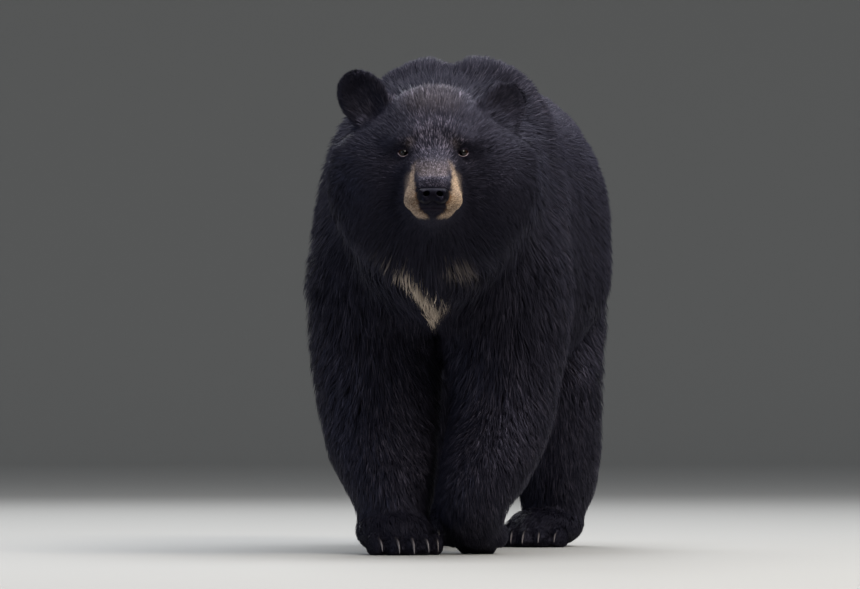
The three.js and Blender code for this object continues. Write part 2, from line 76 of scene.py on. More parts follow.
def out_of(points, turn, at):
    """Points of an inner frame in the outer one: turn p + at."""
    return points @ turn.T.astype(np.float32) + np.asarray(at, np.float32)


def length(v):
    """Length of each vector."""
    return np.sqrt((v * v).sum(-1))


def unit(v):
    """Each vector at length 1."""
    return v / np.maximum(length(v), 1e-9)[..., None]


def ramp(x, low, high):
    """0 below low, 1 above high, smooth between them: t^2 (3 - 2 t)."""
    t = np.clip((x - low) / (high - low), 0, 1)
    return t * t * (3 - 2 * t)


def fade(x, low, high):
    """1 below low, 0 above high: the ramp turned over."""
    return 1 - ramp(x, low, high)


def bump_at(x, centre, width):
    """A bell: exp(-((x - centre) / width)^2)."""
    return np.exp(-(((x - centre) / width) ** 2))


def egg(centre, radii, turn=(0, 0, 0)):
    """Ellipsoid: k (k - 1) / g with k the length of p / r and g the length of p / r^2."""
    r = np.asarray(radii, np.float32)
    matrix = euler(*turn)

    def field(p):
        q = into(p, matrix, centre)
        near = length(q / r)
        slope = np.maximum(length(q / (r * r)), 1e-6)
        return near * (near - 1) / slope

    return field


def meld(a, b, width):
    """Smooth minimum: min(a, b) - max(width - |a - b|, 0)^2 / (4 width)."""
    h = np.maximum(width - np.abs(a - b), 0)
    return np.minimum(a, b) - h * h / (4 * width)


def blend(fields, width):
    """The fields melded one after the other over a width."""

    def field(p):
        total = fields[0](p)
        for other in fields[1:]:
            total = meld(total, other(p), width)
        return total

    return field


def hollowed(a, b, width):
    """Field a with b taken out of it, the rim rounded over a width."""
    return -meld(-a, b, width)


def limb(joints, width=40.0):
    """Tapered tube: distance to each span's axis less a radius that runs evenly along it.

    A joint is (x, y, z, radius), and the spans are melded over a width.
    """
    joints = np.asarray(joints, np.float32)

    def field(p):
        total = None
        for start, end in zip(joints[:-1], joints[1:]):
            run = end[:3] - start[:3]
            t = np.clip((p - start[:3]) @ run / (run @ run), 0, 1)
            away = length(p - start[:3] - t[:, None] * run) - start[3] - (end[3] - start[3]) * t
            total = away if total is None else meld(total, away, width)
        return total

    return field


def placed(field, turn, at):
    """A field of an inner frame as one of the outer frame."""
    return lambda p: field(into(p, turn, at))


FAR_OUTSIDE = 600.0


def within(field, low, high):
    """The field where points lie in a box, and far outside elsewhere: only to save time."""
    low, high = np.asarray(low, np.float32), np.asarray(high, np.float32)

    def boxed(p):
        inside = np.all((p > low) & (p < high), axis=1)
        values = np.full(len(p), FAR_OUTSIDE, np.float32)
        if inside.any():
            values[inside] = field(p[inside])
        return values

    return boxed


def hull(stations, front_reach, rear_reach, squareness):
    """Long mass along Y through stations (y, z, half width, half height), with round ends.

    Sizes follow a cubic Hermite curve over the stations, and a section is a superellipse.
    """
    stations = np.asarray(stations, np.float64)
    slopes = np.zeros_like(stations)
    last = len(stations) - 1
    for i in range(last + 1):
        before, after = stations[max(i - 1, 0)], stations[min(i + 1, last)]
        slopes[i] = (after - before) / (after[0] - before[0])

    def field(p):
        y = np.clip(p[:, 1], stations[0, 0], stations[-1, 0])
        i = np.clip(np.searchsorted(stations[:, 0], y, side="left") - 1, 0, last - 1)
        step = stations[i + 1, 0] - stations[i, 0]
        t = ((y - stations[i, 0]) / step)[:, None]
        step = step[:, None]
        values = (
            (1 + 2 * t) * (1 - t) ** 2 * stations[i]
            + t * (1 - t) ** 2 * step * slopes[i]
            + t * t * (3 - 2 * t) * stations[i + 1]
            + t * t * (t - 1) * step * slopes[i + 1]
        ).astype(np.float32)
        reach = np.where(p[:, 1] < y, front_reach, rear_reach)
        sizes = np.stack([values[:, 2], reach, values[:, 3]], 1)
        offset = np.stack([p[:, 0], p[:, 1] - y, p[:, 2] - values[:, 1]], 1)
        shares = np.abs(offset) / sizes
        near = np.maximum((shares**squareness).sum(1) ** (1 / squareness), 0.05)
        slope = length((shares / near[:, None]) ** (squareness - 1) / sizes)
        return ((near - 1) / np.maximum(slope, 1e-6)).astype(np.float32)

    return field


def gradient(field, points, h=0.6):
    """Slope of a field, (f(p + h) - f(p - h)) / 2h along each axis."""
    slope = np.empty_like(points)
    for axis in range(3):
        step = np.zeros(3, np.float32)
        step[axis] = h
        slope[:, axis] = field(points + step) - field(points - step)
    return slope / (2 * h)


# ---- The outline at the tips of the coat.

HEAD_TURN = euler(0, 0, HEAD_YAW)


def to_head(p):
    """Points of the body's frame in the head's."""
    return into(p, HEAD_TURN, HEAD_AT)


def from_head(p):
    """Points of the head's frame in the body's."""
    return out_of(p, HEAD_TURN, HEAD_AT)


def in_head(field):
    """A field of the head's frame as one of the body's."""
    return placed(field, HEAD_TURN, HEAD_AT)


def head_point(p):
    """One point of the head's frame in the body's."""
    return from_head(np.asarray(p, np.float32)[None])[0]


cranium_parts = [
    egg((0, 132, 26), (126, 138, 104), (0.35, 0, 0)),
    egg((0, 108, -92), (128, 116, 98)),
    limb([(0, 62, -42, 86), (0, -40, -68, 46)]),
]
for side in SIDES:
    cranium_parts.append(egg((side * 88, 122, -50), (90, 112, 110)))
    cranium_parts.append(egg((side * 46, 22, 24), (34, 26, 15), (0, side * 0.25, 0)))
cranium = blend(cranium_parts, 34)
muzzle = blend([limb([(0, 18, -24, 38), (0, -112, -80, 34)]), egg((0, -80, -88), (51.5, 62, 38))], 22)
jaw = limb([(0, 44, -106, 47), (0, -103, -101, 25)])


def head_local(p):
    """Cranium, muzzle and jaw in the head's frame, its origin between the eyes."""
    return meld(cranium(p), meld(muzzle(p), jaw(p), 12), 34)


def ear_leaf(p):
    """A leaf hollowed by a cup in front, in the ear's own frame."""
    leaf = meld(egg((0, 4, 0), (45, 23, 60))(p), egg((0, 8, -34), (45, 25, 32))(p), 10)
    return hollowed(leaf, egg((0, -19, -5), (37, 18, 54))(p), 6)


def ear_frame(at, lean, fold, turn):
    """Turn and place of an ear: it leans out, folds back and turns about its own length."""
    side = np.sign(at[0])
    own = euler(-fold, side * lean, side * turn, "ZYX")
    return HEAD_TURN @ own, head_point(at)


EARS = {-1: ear_frame((-128, 116, 101), 0.58, 0, 0.05), 1: ear_frame((128, 120, 84), 0.85, 0.3, 0.4)}

neck = blend(
    [
        limb([(*head_point((0, 180, -30)), 158), (25, -175, 708, 192), (5, -20, 700, 232)], 60),
        egg(head_point((0, 215, -105)), (145, 170, 118)),
        egg((10, -205, 570), (145, 175, 118)),
    ],
    60,
)


def span(y, top, bottom, width):
    """A station of the trunk from its top, bottom and width at y."""
    return (y, (top + bottom) / 2, width / 2, (top - bottom) / 2)


trunk = blend(
    [
        hull(
            [
                span(-60, 895, 442, 406),
                span(80, 941, 372, 464),
                span(270, 935, 366, 502),
                span(470, 915, 348, 552),
                span(650, 925, 366, 517),
                span(800, 942, 410, 446),
            ],
            170,
            266,
            2.15,
        ),
        egg((0, -100, 588), (165, 158, 148)),
        egg((0, 500, 524), (264, 310, 158)),
        egg((-42, 90, 783), (112, 165, 172)),
        egg((82, 90, 786), (120, 165, 172)),
    ],
    60,
)
tail = within(
    limb([(0, 1016, 775, 34), (0, 1060, 716, 30), (0, 1076, 662, 19)]),
    (-150, 850, 520),
    (150, 1250, 920),
)

# Legs: joints from the top down as (x, y, z, radius), the mass at the top as an egg's centre and
# radii, and the paw as its place, yaw, pitch, width, length and height.
LEGS = {
    "fore_right": dict(
        joints=[(-132, 18, 640, 104), (-130, -14, 520, 118), (-122, 4, 410, 127),
                (-121, 14, 300, 113), (-110, 2, 205, 97), (-92, -14, 140, 71), (-86, -22, 96, 68)],
        mass=((-126, -35, 530), (112, 148, 155)),
        paw=((-74, -70, 0), 0.45, 0.0, 152, 182, 96),
    ),
    "fore_left": dict(
        joints=[(140, 8, 640, 108), (132, -18, 520, 119), (124, -6, 410, 123),
                (125, -4, 288, 93), (112, -26, 223, 82), (94, -50, 168, 74), (72, -62, 116, 68)],
        mass=((132, -40, 530), (116, 148, 155)),
        paw=((68, -8, 90), -0.1, 2.2, 128, 170, 84),
    ),
    "hind_left": dict(
        joints=[(98, 830, 560, 130), (112, 765, 430, 114), (128, 718, 345, 98),
                (131, 752, 265, 87), (132, 800, 190, 78), (124, 838, 125, 69), (116, 842, 68, 56)],
        mass=((108, 800, 490), (106, 180, 185)),
        paw=((104, 765, 0), -0.2, 0.0, 150, 222, 88),
    ),
    "hind_right": dict(
        joints=[(-98, 850, 560, 130), (-112, 815, 430, 114), (-128, 795, 350, 98),
                (-131, 850, 265, 87), (-130, 905, 190, 78), (-122, 946, 125, 69), (-114, 956, 68, 56)],
        mass=((-108, 830, 490), (106, 180, 185)),
        paw=((-102, 880, 0), 0.2, 0.0, 150, 222, 88),
    ),
}
TOES = (-2, -1, 0, 1, 2)
LEG_REACH = 260


def toe_place(number, width, long):
    """Middle of a toe in the paw's frame: the outer toes stand back by the number squared."""
    return (number * width * 0.19, -long * 0.42 + number * number * long * 0.035, 24)


def paw_field(width, long, high):
    """Foot and five toes on an arc, in the paw's own frame with its toes to -Y."""
    parts = [egg((0, long * 0.06, high / 2 - 4), (width / 2, long / 2, high / 2))]
    for number in TOES:
        x, y, z = toe_place(number, width, long)
        parts.append(egg((x, y, z - 4), (width * 0.125, 30, 27)))
    return blend(parts, 14)


def set_up_leg(leg):
    """Adds a leg's paw frame and the fields of its shaft and foot to its record."""
    at, yaw, pitch, width, long, high = leg["paw"]
    at = np.array(at, np.float32)
    leg["frame"] = (euler(pitch, 0, yaw, "ZYX"), at)
    joints = np.array(leg["joints"], np.float32)
    low, top = joints[:, :3].min(0) - LEG_REACH, joints[:, :3].max(0) + LEG_REACH
    leg["shaft"] = within(blend([limb(joints, 50), egg(*leg["mass"])], 50), low, top)
    foot = placed(paw_field(width, long, high), *leg["frame"])
    leg["foot"] = within(foot, at - LEG_REACH, at + LEG_REACH)


for leg in LEGS.values():
    set_up_leg(leg)


def leg_field(leg, p):
    """A leg: its shaft melded with its foot."""
    return meld(leg["shaft"](p), leg["foot"](p), 30)


def leg_middle(leg, z):
    """Where a leg's middle line is across and along the body, at each height."""
    joints = np.array(leg["joints"], np.float32)[::-1]
    return [np.interp(z, joints[:, 2], joints[:, axis]) for axis in (0, 1)]


def nearest_legs(p):
    """Each leg in turn, and which points are nearer to it than to the legs before it."""
    best = np.full(len(p), 1e4, np.float32)
    for leg in LEGS.values():
        value = np.minimum(leg["shaft"](p), leg["foot"](p))
        yield leg, (value < best)[:, None]
        best = np.minimum(best, value)


HEAD_BOX = ((-400, -900, 380), (500, 0, 1160))
head_near = within(in_head(head_local), *HEAD_BOX)
neck_near = within(neck, (-500, -780, 200), (520, 480, 1200))
ear_near = {
    side: within(placed(ear_leaf, *EARS[side]), EARS[side][1] - 140, EARS[side][1] + 140)
    for side in SIDES
}


def coat_field(p):
    """Outline of the whole bear at the tips of its coat, without the nose pad."""
    torso = meld(neck_near(p), trunk(p), 60)
    legs = np.minimum.reduce([leg_field(leg, p) for leg in LEGS.values()])
    x, y, z = to_head(p).T
    edge = np.maximum(ramp(-z, 30, 130), ramp(np.abs(x), 105, 160) * ramp(-z, -60, 0))
    soft = 60 + 80 * edge * ramp(y, 20, 110) - 32 * ramp(z, 40, 90)
    body = meld(meld(torso, legs, 55), head_near(p), soft)
    spine = bump_at(p[:, 0], 12, 20) * ramp(p[:, 1], -90, 10) * fade(p[:, 1], 150, 330)
    body = body + 13 * spine * ramp(p[:, 2], 840, 920)
    for field in ear_near.values():
        body = meld(body, field(p), 16)
    return meld(body, tail(p), 8)


# ---- Regions: how much of each part of the body a point belongs to.

TRUNK, NECK, CRANIUM, MUZZLE, EAR, TAIL, SHAFT, FOOT = range(8)


def regions(p):
    """Shares of the regions at each point: a soft nearest, exp(-f / 14 mm), that adds up to 1."""
    q = to_head(p)
    near_head = within(in_head(cranium), *HEAD_BOX)
    both_jaws = in_head(lambda x: np.minimum(muzzle(x), jaw(x)))
    near_muzzle = within(both_jaws, (-60, -780, 520), (190, -400, 860))
    fields = [
        trunk(p),
        neck_near(p),
        near_head(p),
        near_muzzle(p) - np.where(q[:, 1] < -30, 10, 0),
        np.minimum(ear_near[-1](p), ear_near[1](p)) - 10,
        tail(p) - 4,
        np.minimum.reduce([leg["shaft"](p) for leg in LEGS.values()]),
        np.minimum.reduce([leg["foot"](p) for leg in LEGS.values()]) - 4,
    ]
    f = np.stack(fields, 1)
    weight = np.exp(-(f - f.min(1, keepdims=True)) / 14)
    return weight / weight.sum(1, keepdims=True)


def coat_depth(p, share=None):
    """How far the skin lies inside the tips of the coat, in mm, from the regions and places."""
    share = regions(p) if share is None else share
    q = to_head(p)
    face = 6 + 32 * ramp(q[:, 1], 30, 190) + 10 * ramp(-q[:, 2], 60, 160)
    shaft = 9 + 19 * ramp(p[:, 2], 90, 420)
    foot = 2 + 6 * ramp(p[:, 2], 6, 50)
    table = [38, 48, face, 2.6, 4.5, 16, shaft, foot]
    return sum(share[:, i] * value for i, value in enumerate(table))


# ---- The skin's surface: the coat's outline less its depth, with sockets, nose bed, lips and toes.

EYE_CENTRE = {side: (side * EYE_SPACING / 2, EYE_DEPTH, 0.0) for side in SIDES}
EYE_TURN = {side: euler(0, 0, side * 0.28) for side in SIDES}
SOCKET_RADIUS = 15.0
SKIN_FLOOR = 0.4

nose_pad = blend(
    [egg((0, -134, -82), (28, 17, 15))] + [egg((side * 15, -136, -86), (14, 14, 12.5)) for side in SIDES],
    8,
)
nostrils = blend(
    [limb([(side * 10.5, -160, -82, 4.6), (side * 10.0, -134, -78, 3.2)], 1) for side in SIDES]
    + [limb([(side * 15.0, -158, -83, 4.4), (side * 13.0, -134, -79, 3.2)], 1) for side in SIDES]
    + [
        limb([(side * 17, -155, -83, 3.4), (side * 22.5, -150, -85.5, 2.6), (side * 27, -143, -92, 1.5)], 1)
        for side in SIDES
    ],
    3,
)
philtrum = limb([(0, -153.5, -80, 0.6), (0, -153, -94, 1.3), (0, -141, -110, 1.2)], 1)


def nose_surface(p):
    """The nose pad in the head's frame: a wide egg with two wings, nostrils and a groove."""
    pad = nose_pad(p)
    for side in SIDES:
        pad = meld(pad, egg((side * 13, -144, -93), (8.5, 8.5, 5.4))(p), 4)
        pad = meld(pad, egg((side * 21, -141, -78), (6, 9, 6))(p), 5)
    pad = hollowed(pad, nostrils(p), 2.4)
    return hollowed(pad, philtrum(p), 2.0)


def mouth_height(x, y):
    """Height of the line between the lips along the jaw: it rises towards the corner."""
    return -105 - 4 * ramp(np.abs(x), 8, 40) + 9 * ramp(y, -90, -20)


def face_details(q, skin):
    """Adds to a skin value at head points: wings of the lip, hood of the nose, sockets, lips."""
    for side in SIDES:
        socket_at = out_of(np.array([[0, -5.0, 0]], np.float32), EYE_TURN[side], EYE_CENTRE[side])[0]
        skin = hollowed(skin, length(q - socket_at) - SOCKET_RADIUS, 4)
        whiskers = egg((side * 30, -106, -92), (19, 26, 14))
        skin = meld(skin, whiskers(q), 14)
    skin = meld(skin, egg((0, -118, -63), (30, 20, 11), (0.45, 0, 0))(q), 12)
    skin = hollowed(skin, nose_pad(q) + 3.0, 2)
    x, y, z = q.T
    line = bump_at(z, mouth_height(x, y), 2.2) * fade(y, -50, -25) * fade(np.abs(x), 50, 62)
    line = line * (1 - 0.6 * ramp(np.abs(x), 20, 32))
    return hollowed(skin + 3.2 * line, philtrum(q), 3)


def skin_field(p, depth=None):
    """The skin: coat outline + depth, the face's details near the head, cut flat by the floor."""
    skin = coat_field(p) + (coat_depth(p) if depth is None else depth)
    q = to_head(p)
    face = np.all((q > (-110, -200, -160)) & (q < (110, 60, 70)), axis=1)
    if face.any():
        skin[face] = face_details(q[face], skin[face])
    return np.maximum(skin, SKIN_FLOOR - p[:, 2])


# ---- Surface nets on a grid that may be warped.

NET_CENTRE = head_point((0, -70, -45))


def warp_to_face(g):
    """Grid points to the body: r = 1.8 g (1 + (g / 61)^1.2) about the face, finest there."""
    r = length(g)[:, None]
    return (NET_CENTRE + g * 1.8 * (1 + (r / 61) ** 1.2)).astype(np.float32)


def evenly(cell, origin):
    """Grid points to places at even steps from an origin."""
    return lambda g: (np.asarray(origin, np.float32) + g * cell).astype(np.float32)


FILLED = 999
CHUNK = 400000


def net(field, shape_low, shape_high, warp, block=4):
    """Closed quads of a field's zero surface on a grid, one vertex to each crossed cell.

    Blocks whose middle is farther from the surface than their own size are filled by sign only.
    A vertex starts at the mean of its cell's crossings. Returns grid points (n, 3), quads (m, 4).
    """
    low = np.array(shape_low)
    blocks = (np.array(shape_high) - low) // block + 1
    shape = tuple(blocks * block)
    corners = np.stack(np.meshgrid(*[np.arange(b) for b in blocks], indexing="ij"), -1).reshape(-1, 3)
    middles = (low + corners * block + (block - 1) / 2).astype(np.float32)
    real = warp(middles)
    size = length(warp(middles + block / 2) - real)
    f = field(real)
    values = (np.sign(f).reshape(blocks) * FILLED).astype(np.float32)
    for axis in range(3):
        values = np.repeat(values, block, axis)
    active = corners[np.abs(f) < size * 1.3 + 4]
    offsets = np.stack(np.meshgrid(*[np.arange(block)] * 3, indexing="ij"), -1).reshape(-1, 3)
    points = (active[:, None] * block + offsets[None]).reshape(-1, 3)
    for chunk in np.array_split(points, max(len(points) // CHUNK, 1)):
        values[tuple(chunk.T)] = field(warp((chunk + low).astype(np.float32)))

    strides = np.array([shape[1] * shape[2], shape[2], 1])
    flat = values.reshape(-1)
    cells, sums, quads = [], [], []
    for axis in range(3):
        one, two = (axis + 1) % 3, (axis + 2) % 3
        a = np.take(values, range(shape[axis] - 1), axis) < 0
        b = np.take(values, range(1, shape[axis]), axis) < 0
        at = np.argwhere(a != b)
        index = at @ strides
        va, vb = flat[index], flat[index + strides[axis]]
        crossing = at.astype(np.float32)
        crossing[:, axis] += va / (va - vb)
        ring = np.stack(
            [index - strides[one] - strides[two], index - strides[two], index, index - strides[one]], 1
        )
        cells.append(ring.reshape(-1))
        sums.append(np.repeat(crossing, 4, axis=0))
        quads.append(np.where((va < 0)[:, None], ring, ring[:, ::-1]))
    cells, sums, quads = np.concatenate(cells), np.concatenate(sums), np.concatenate(quads)
    used, inverse = np.unique(cells, return_inverse=True)
    count = np.bincount(inverse)
    mean = np.stack([np.bincount(inverse, sums[:, i]) / count for i in range(3)], 1)
    return (mean + low).astype(np.float32), np.searchsorted(used, quads)


def settle(field, points, steps=3, longest=3.0):
    """Points moved along the field's slope onto its zero surface."""
    for _ in range(steps):
        slope = gradient(field, points)
        move = np.clip(-field(points) / np.maximum((slope * slope).sum(1), 0.05), -longest, longest)
        points = points + move[:, None] * slope
    return points


def face_normals(points, quads):
    """Cross product of each quad's diagonals."""
    a, b, c, d = (points[quads[:, i]] for i in range(4))
    return np.cross(c - a, d - b)


def vertex_normals(points, quads):
    """Each point's sum of the normals of its faces, at length 1."""
    normals = np.zeros_like(points)
    faces = face_normals(points, quads)
    for column in range(4):
        for i in range(3):
            normals[:, i] += np.bincount(quads[:, column], faces[:, i], len(points))
    return unit(normals)


def skin_net():
    """The skin's net, finest about the face, settled on the skin's field."""
    g, quads = net(skin_field, (-120, -70, -165), (120, 215, 100), warp_to_face)
    points = warp_to_face(g)
    depth = coat_depth(points)
    return settle(lambda p: skin_field(p, depth), points, 2), quads


# ---- Eyelids: a patch round each eye, from a rim on the eyeball out to the skin.

LID_ROUND = 96
LID_RINGS = 18
LID_SHELLS = [(0.9, -0.7), (0.96, 0.1), (0.99, 0.7), (1.07, 1.2), (1.16, 1.6)]
OPENING_WIDE = 9.5
OPENING_UP, OPENING_DOWN = 5.6, 6.7
OPENING_TILT = 0.12
PATCH_WIDE, PATCH_HIGH = 22.0, 21.0
PROBE_REACH, PROBES, PROBE_STEP = 24, 61, 0.8


def skin_behind(flat, side):
    """Where lines along the look direction through flat points first meet the skin."""
    reach = np.tile(np.linspace(-PROBE_REACH, PROBE_REACH, PROBES), (LID_ROUND, 1))
    across, up = np.repeat(flat[:, :1], PROBES, 1), np.repeat(flat[:, 1:], PROBES, 1)
    lines = np.stack([across, reach, up], -1).reshape(-1, 3).astype(np.float32)
    body = from_head(out_of(lines, EYE_TURN[side], EYE_CENTRE[side]))
    values = (coat_field(body) + coat_depth(body)).reshape(LID_ROUND, PROBES)
    first = np.clip(np.argmax(values < 0, 1), 1, PROBES - 1)
    row = np.arange(LID_ROUND)
    a, b = values[row, first - 1], values[row, first]
    return -PROBE_REACH + PROBE_STEP * (first - 1 + a / (a - b))


def lid_patch(side):
    """Rings round the eye. The opening is an almond, w cos u by h sin u |sin u|^0.12, on spheres
    just over the eyeball. From there the rings run out over the lid to the skin at 22 mm, with a
    crease over the upper lid and a bag under the lower one.
    """
    u = np.linspace(0, 2 * np.pi, LID_ROUND, endpoint=False)
    c, s = np.cos(u), np.sin(u)
    high = np.where(s > 0, OPENING_UP, OPENING_DOWN)
    almond = np.stack([OPENING_WIDE * c, high * s * np.abs(s) ** 0.12], 1)
    tilt = side * OPENING_TILT
    almond = almond @ np.array([[math.cos(tilt), math.sin(tilt)], [-math.sin(tilt), math.cos(tilt)]])
    circle = np.stack([PATCH_WIDE * c, PATCH_HIGH * s], 1)
    rings = []
    for scale, rise in LID_SHELLS:
        flat = almond * scale
        r = EYE_RADIUS + rise
        ahead = -np.sqrt(np.maximum(r * r - (flat**2).sum(1), 1))
        rings.append(np.stack([flat[:, 0], ahead, flat[:, 1]], 1))
    start = almond * LID_SHELLS[-1][0]
    tangent = start * 0.45
    for ring in range(1, LID_RINGS + 1):
        q = ring / LID_RINGS
        flat = start * (1 - q) ** 2 * (1 + 2 * q) + circle * q * q * (3 - 2 * q)
        flat = flat + tangent * q * (1 - q) ** 2
        slope = rings[4][:, 1] + (rings[4][:, 1] - rings[3][:, 1]) * 2.2 * q
        mix = ramp(q, 0.0, 0.75)
        y = slope * (1 - mix) + (skin_behind(flat, side) - 0.5) * mix
        crease = 0.9 * bump_at(q, 0.22, 0.08) * ramp(s, 0.1, 0.8)
        bag = -0.8 * bump_at(q, 0.3, 0.16) * ramp(-s, 0.2, 0.9)
        sink = 1.9 * ramp(q, 0.86, 1.0)
        rings.append(np.stack([flat[:, 0], y + crease + bag + sink, flat[:, 1]], 1))
    points = np.concatenate(rings).astype(np.float32)
    k = np.arange(len(rings) - 1)[:, None] * LID_ROUND
    i = np.arange(LID_ROUND)[None]
    j = (i + 1) % LID_ROUND
    quads = np.stack([k + i, k + LID_ROUND + i, k + LID_ROUND + j, k + j], -1).reshape(-1, 4)
    head = out_of(points, EYE_TURN[side], EYE_CENTRE[side])
    if face_normals(head, quads)[:, 1].sum() > 0:
        quads = quads[:, ::-1]
    ring_number = np.repeat(np.arange(len(rings)), LID_ROUND)
    rim = ((ring_number >= 1) & (ring_number <= 3)).astype(np.float32)
    # The lower rim rings carry a pale painted highlight, the glint of the tear film.
    lower = rim * np.tile(ramp(-s, 0.05, 0.5), len(rings))
    bare = (ring_number <= 6).astype(np.float32)
    return from_head(head), quads, bare, lower


# ---- Markings and the lie of the coat. Both are read at the skin and carried out to the tufts.


TABLE = 4096


def table_key(cell):
    """Number of a lattice cell in a table of random values, from large primes."""
    return (cell[:, 0] * 73856093 ^ cell[:, 1] * 19349663 ^ cell[:, 2] * 83492791) & (TABLE - 1)


def lattice_noise(p, size, seed):
    """Smooth noise in -1..1: random values on a lattice of that size, blended by t^2 (3 - 2 t)."""
    table = np.random.default_rng(seed).uniform(-1, 1, TABLE).astype(np.float32)
    q = p / size + 500
    cell = np.floor(q).astype(np.int64)
    t = q - cell
    t = t * t * (3 - 2 * t)
    total = 0
    for corner in np.ndindex(2, 2, 2):
        weight = np.where(corner, t, 1 - t)
        total = total + weight[:, 0] * weight[:, 1] * weight[:, 2] * table[table_key(cell + corner)]
    return total


def near_segment(x, z, a, b):
    """Distance in the X-Z plane from a segment, and how far along it, 0 to 1."""
    run = np.subtract(b, a)
    t = np.clip(((x - a[0]) * run[0] + (z - a[1]) * run[1]) / (run @ run), 0, 1)
    return np.hypot(x - a[0] - t * run[0], z - a[1] - t * run[1]), t


# Half widths of the grey bridge and of the tan sides, by depth under the eyes, in the head's frame.
MARK_DEPTHS = [12, 20, 27, 36, 51, 67, 82, 91, 101, 107, 113, 121, 128]
BRIDGE_HALF = [20, 24, 28, 30, 33, 33, 31, 28, 25, 24, 20, 8, 4]
TAN_HALF = [20, 31, 35, 37, 40, 44, 50, 52, 50, 45, 37, 24, 8]

# Strokes of the chest mark: start, end, then solid half width, edge half width and strength, each
# as its value at the start and what the whole way along adds.
CHEST_MARK = [
    ((-78, 560), (-43, 527), (0.5, 0.5), (3, 2), (0.12, 0.3)),
    ((-43, 527), (-6, 497), (1, 4), (4, 6), (0.42, 0.58)),
    ((-6, 497), (18, 464), (6, 3), (11, 2), (1, 0)),
    ((18, 464), (3, 428), (9, -9), (13, -9), (1, 0)),
    ((15, 444), (49, 468), (1, 0), (5, 0), (0.9, -0.4)),
]


def face_marks(p, share):
    """Tan, frosting and bare lips on the face.

    The tan lies between two outlines that follow the height and are made ragged by noise. The
    bridge between its sides is frosted, and so are the brow and arcs round the eyes. The frost mask
    also carries painted light: a painted highlight along the ridge above the nose and on the top rim
    of the forehead, and a painted cool shade that greys the tan on the bear's right side.
    """
    skull = share[:, CRANIUM]
    x, y, z = to_head(p).T
    wide = np.abs(x)
    ragged = 2.0 * lattice_noise(p, 6, 1) + 1.2 * lattice_noise(p, 3, 2)
    inner = np.interp(-z, MARK_DEPTHS, BRIDGE_HALF)
    outer = np.interp(-z, MARK_DEPTHS, TAN_HALF)
    wide_ragged = wide + ragged
    beside = ramp(wide_ragged, inner - 2.5, inner + 2.5)
    brown = 0.3 * ramp(y, -104, -84) * fade(y, -48, -20) * ramp(-z, 32, 46) * fade(-z, 88, 106)
    in_outline = 1 - (1 - brown) * ramp(wide_ragged, outer - 1, outer + 3)
    tan = beside * in_outline * ramp(-y + 2 * ragged - 34 * ramp(-z, 55, 95), 2, 24)
    tan = tan * (skull + share[:, MUZZLE]) * fade(-z + ragged, 119, 126) * ramp(-z + ragged, 10, 58)
    # Painted cool shade on the bear's right side: the tan there is dimmed and greyed.
    painted_side_shade = tan * ramp(-x, 12, 30)
    tan = tan * (1 - 0.22 * ramp(-x, 12, 30))
    bridge = (1 - beside) * ramp(-z + 2 * ragged, -12, 30) * fade(-z, 47, 52) * ramp(-y, -30, 10)
    stripe = bump_at(wide, inner - 4, 3.2) * ramp(-z, 34, 46)
    # Painted highlight: a pale line along the ridge above the nose pad.
    hood = bump_at(z, -49 - 0.0125 * x * x, 2.6) * fade(wide, 22, 30) * ramp(-y, 70, 90)
    top = fade(wide, 20, 30) * ramp(-y, 70, 90) * ramp(z, -76, -66)
    frost_and_painted_light = 0.24 * bridge * (1 - 0.9 * stripe) + 0.3 * hood + 0.3 * top
    frost_and_painted_light = frost_and_painted_light + 0.9 * bump_at(z, 16, 34) * fade(wide, 14, 50) * skull
    frost_and_painted_light = frost_and_painted_light + 0.4 * painted_side_shade + 0.3 * beside * bump_at(z, -30, 14) * fade(wide, 34, 42)
    tan = np.maximum(tan, 0.12 * bridge * ramp(-z, 5, 40) * (1 - stripe))
    tan = np.maximum(tan, 0.06 * ramp(z, 50, 90) * fade(wide, 20, 70) * skull)
    for side in SIDES:
        from_eye = np.stack([(x - side * EYE_SPACING / 2) * -side, z], 1)
        distance = length(from_eye)
        above_eye = ramp((from_eye @ np.array((0.5, 0.85), np.float32)) / (distance + 1), 0.3, 0.9)
        under_eye = ramp(-from_eye[:, 1] / (distance + 1), 0.3, 0.9)
        arcs = 0.36 * bump_at(distance, 21, 6) * above_eye + 0.12 * bump_at(distance, 24, 8) * under_eye
        frost_and_painted_light = frost_and_painted_light + arcs * skull
        spot = np.hypot(x - side * 39, z - 14)
        tan = np.maximum(tan, 0.08 * fade(spot + 1.5 * ragged, 0, 14) * ramp(-y, -60, -20))
    # Forehead frost, strongest on the top rim: partly grizzled hair, partly a painted highlight where top
    # light catches the rim.
    forehead = (0.25 + 0.75 * ramp(z, 75, 115)) * ramp(z, 10, 60) * fade(y, 140, 250)
    frost_and_painted_light = frost_and_painted_light + (0.2 + 0.16 * ramp(z, 92, 112)) * forehead * skull
    lips = fade(wide_ragged, inner - 4, inner) * ramp(-z, 101, 104) * fade(-z, 110, 114)
    return tan, frost_and_painted_light, lips * ramp(-y, 80, 100)


def chest_mark(p):
    """Pale strokes that meet in a point, with wisps drawn out downwards, and a faint patch."""
    wisp = 6 * lattice_noise(p * (1, 1, 0.35), 8, 3)
    up = p[:, 2]
    across = p[:, 0] + wisp * 0.4
    pale = 0
    for start, end, solid, edge, strength in CHEST_MARK:
        away, t = near_segment(across, up, start, end)
        stroke = fade(away, solid[0] + solid[1] * t, edge[0] + edge[1] * t)
        pale = np.maximum(pale, stroke * (strength[0] + strength[1] * t))
    patch = fade(np.abs(p[:, 0] - 86 + wisp), 16, 38) * ramp(up + wisp, 504, 524)
    patch = patch * fade(up + wisp, 545, 566)
    return np.maximum(pale, 0.32 * patch)


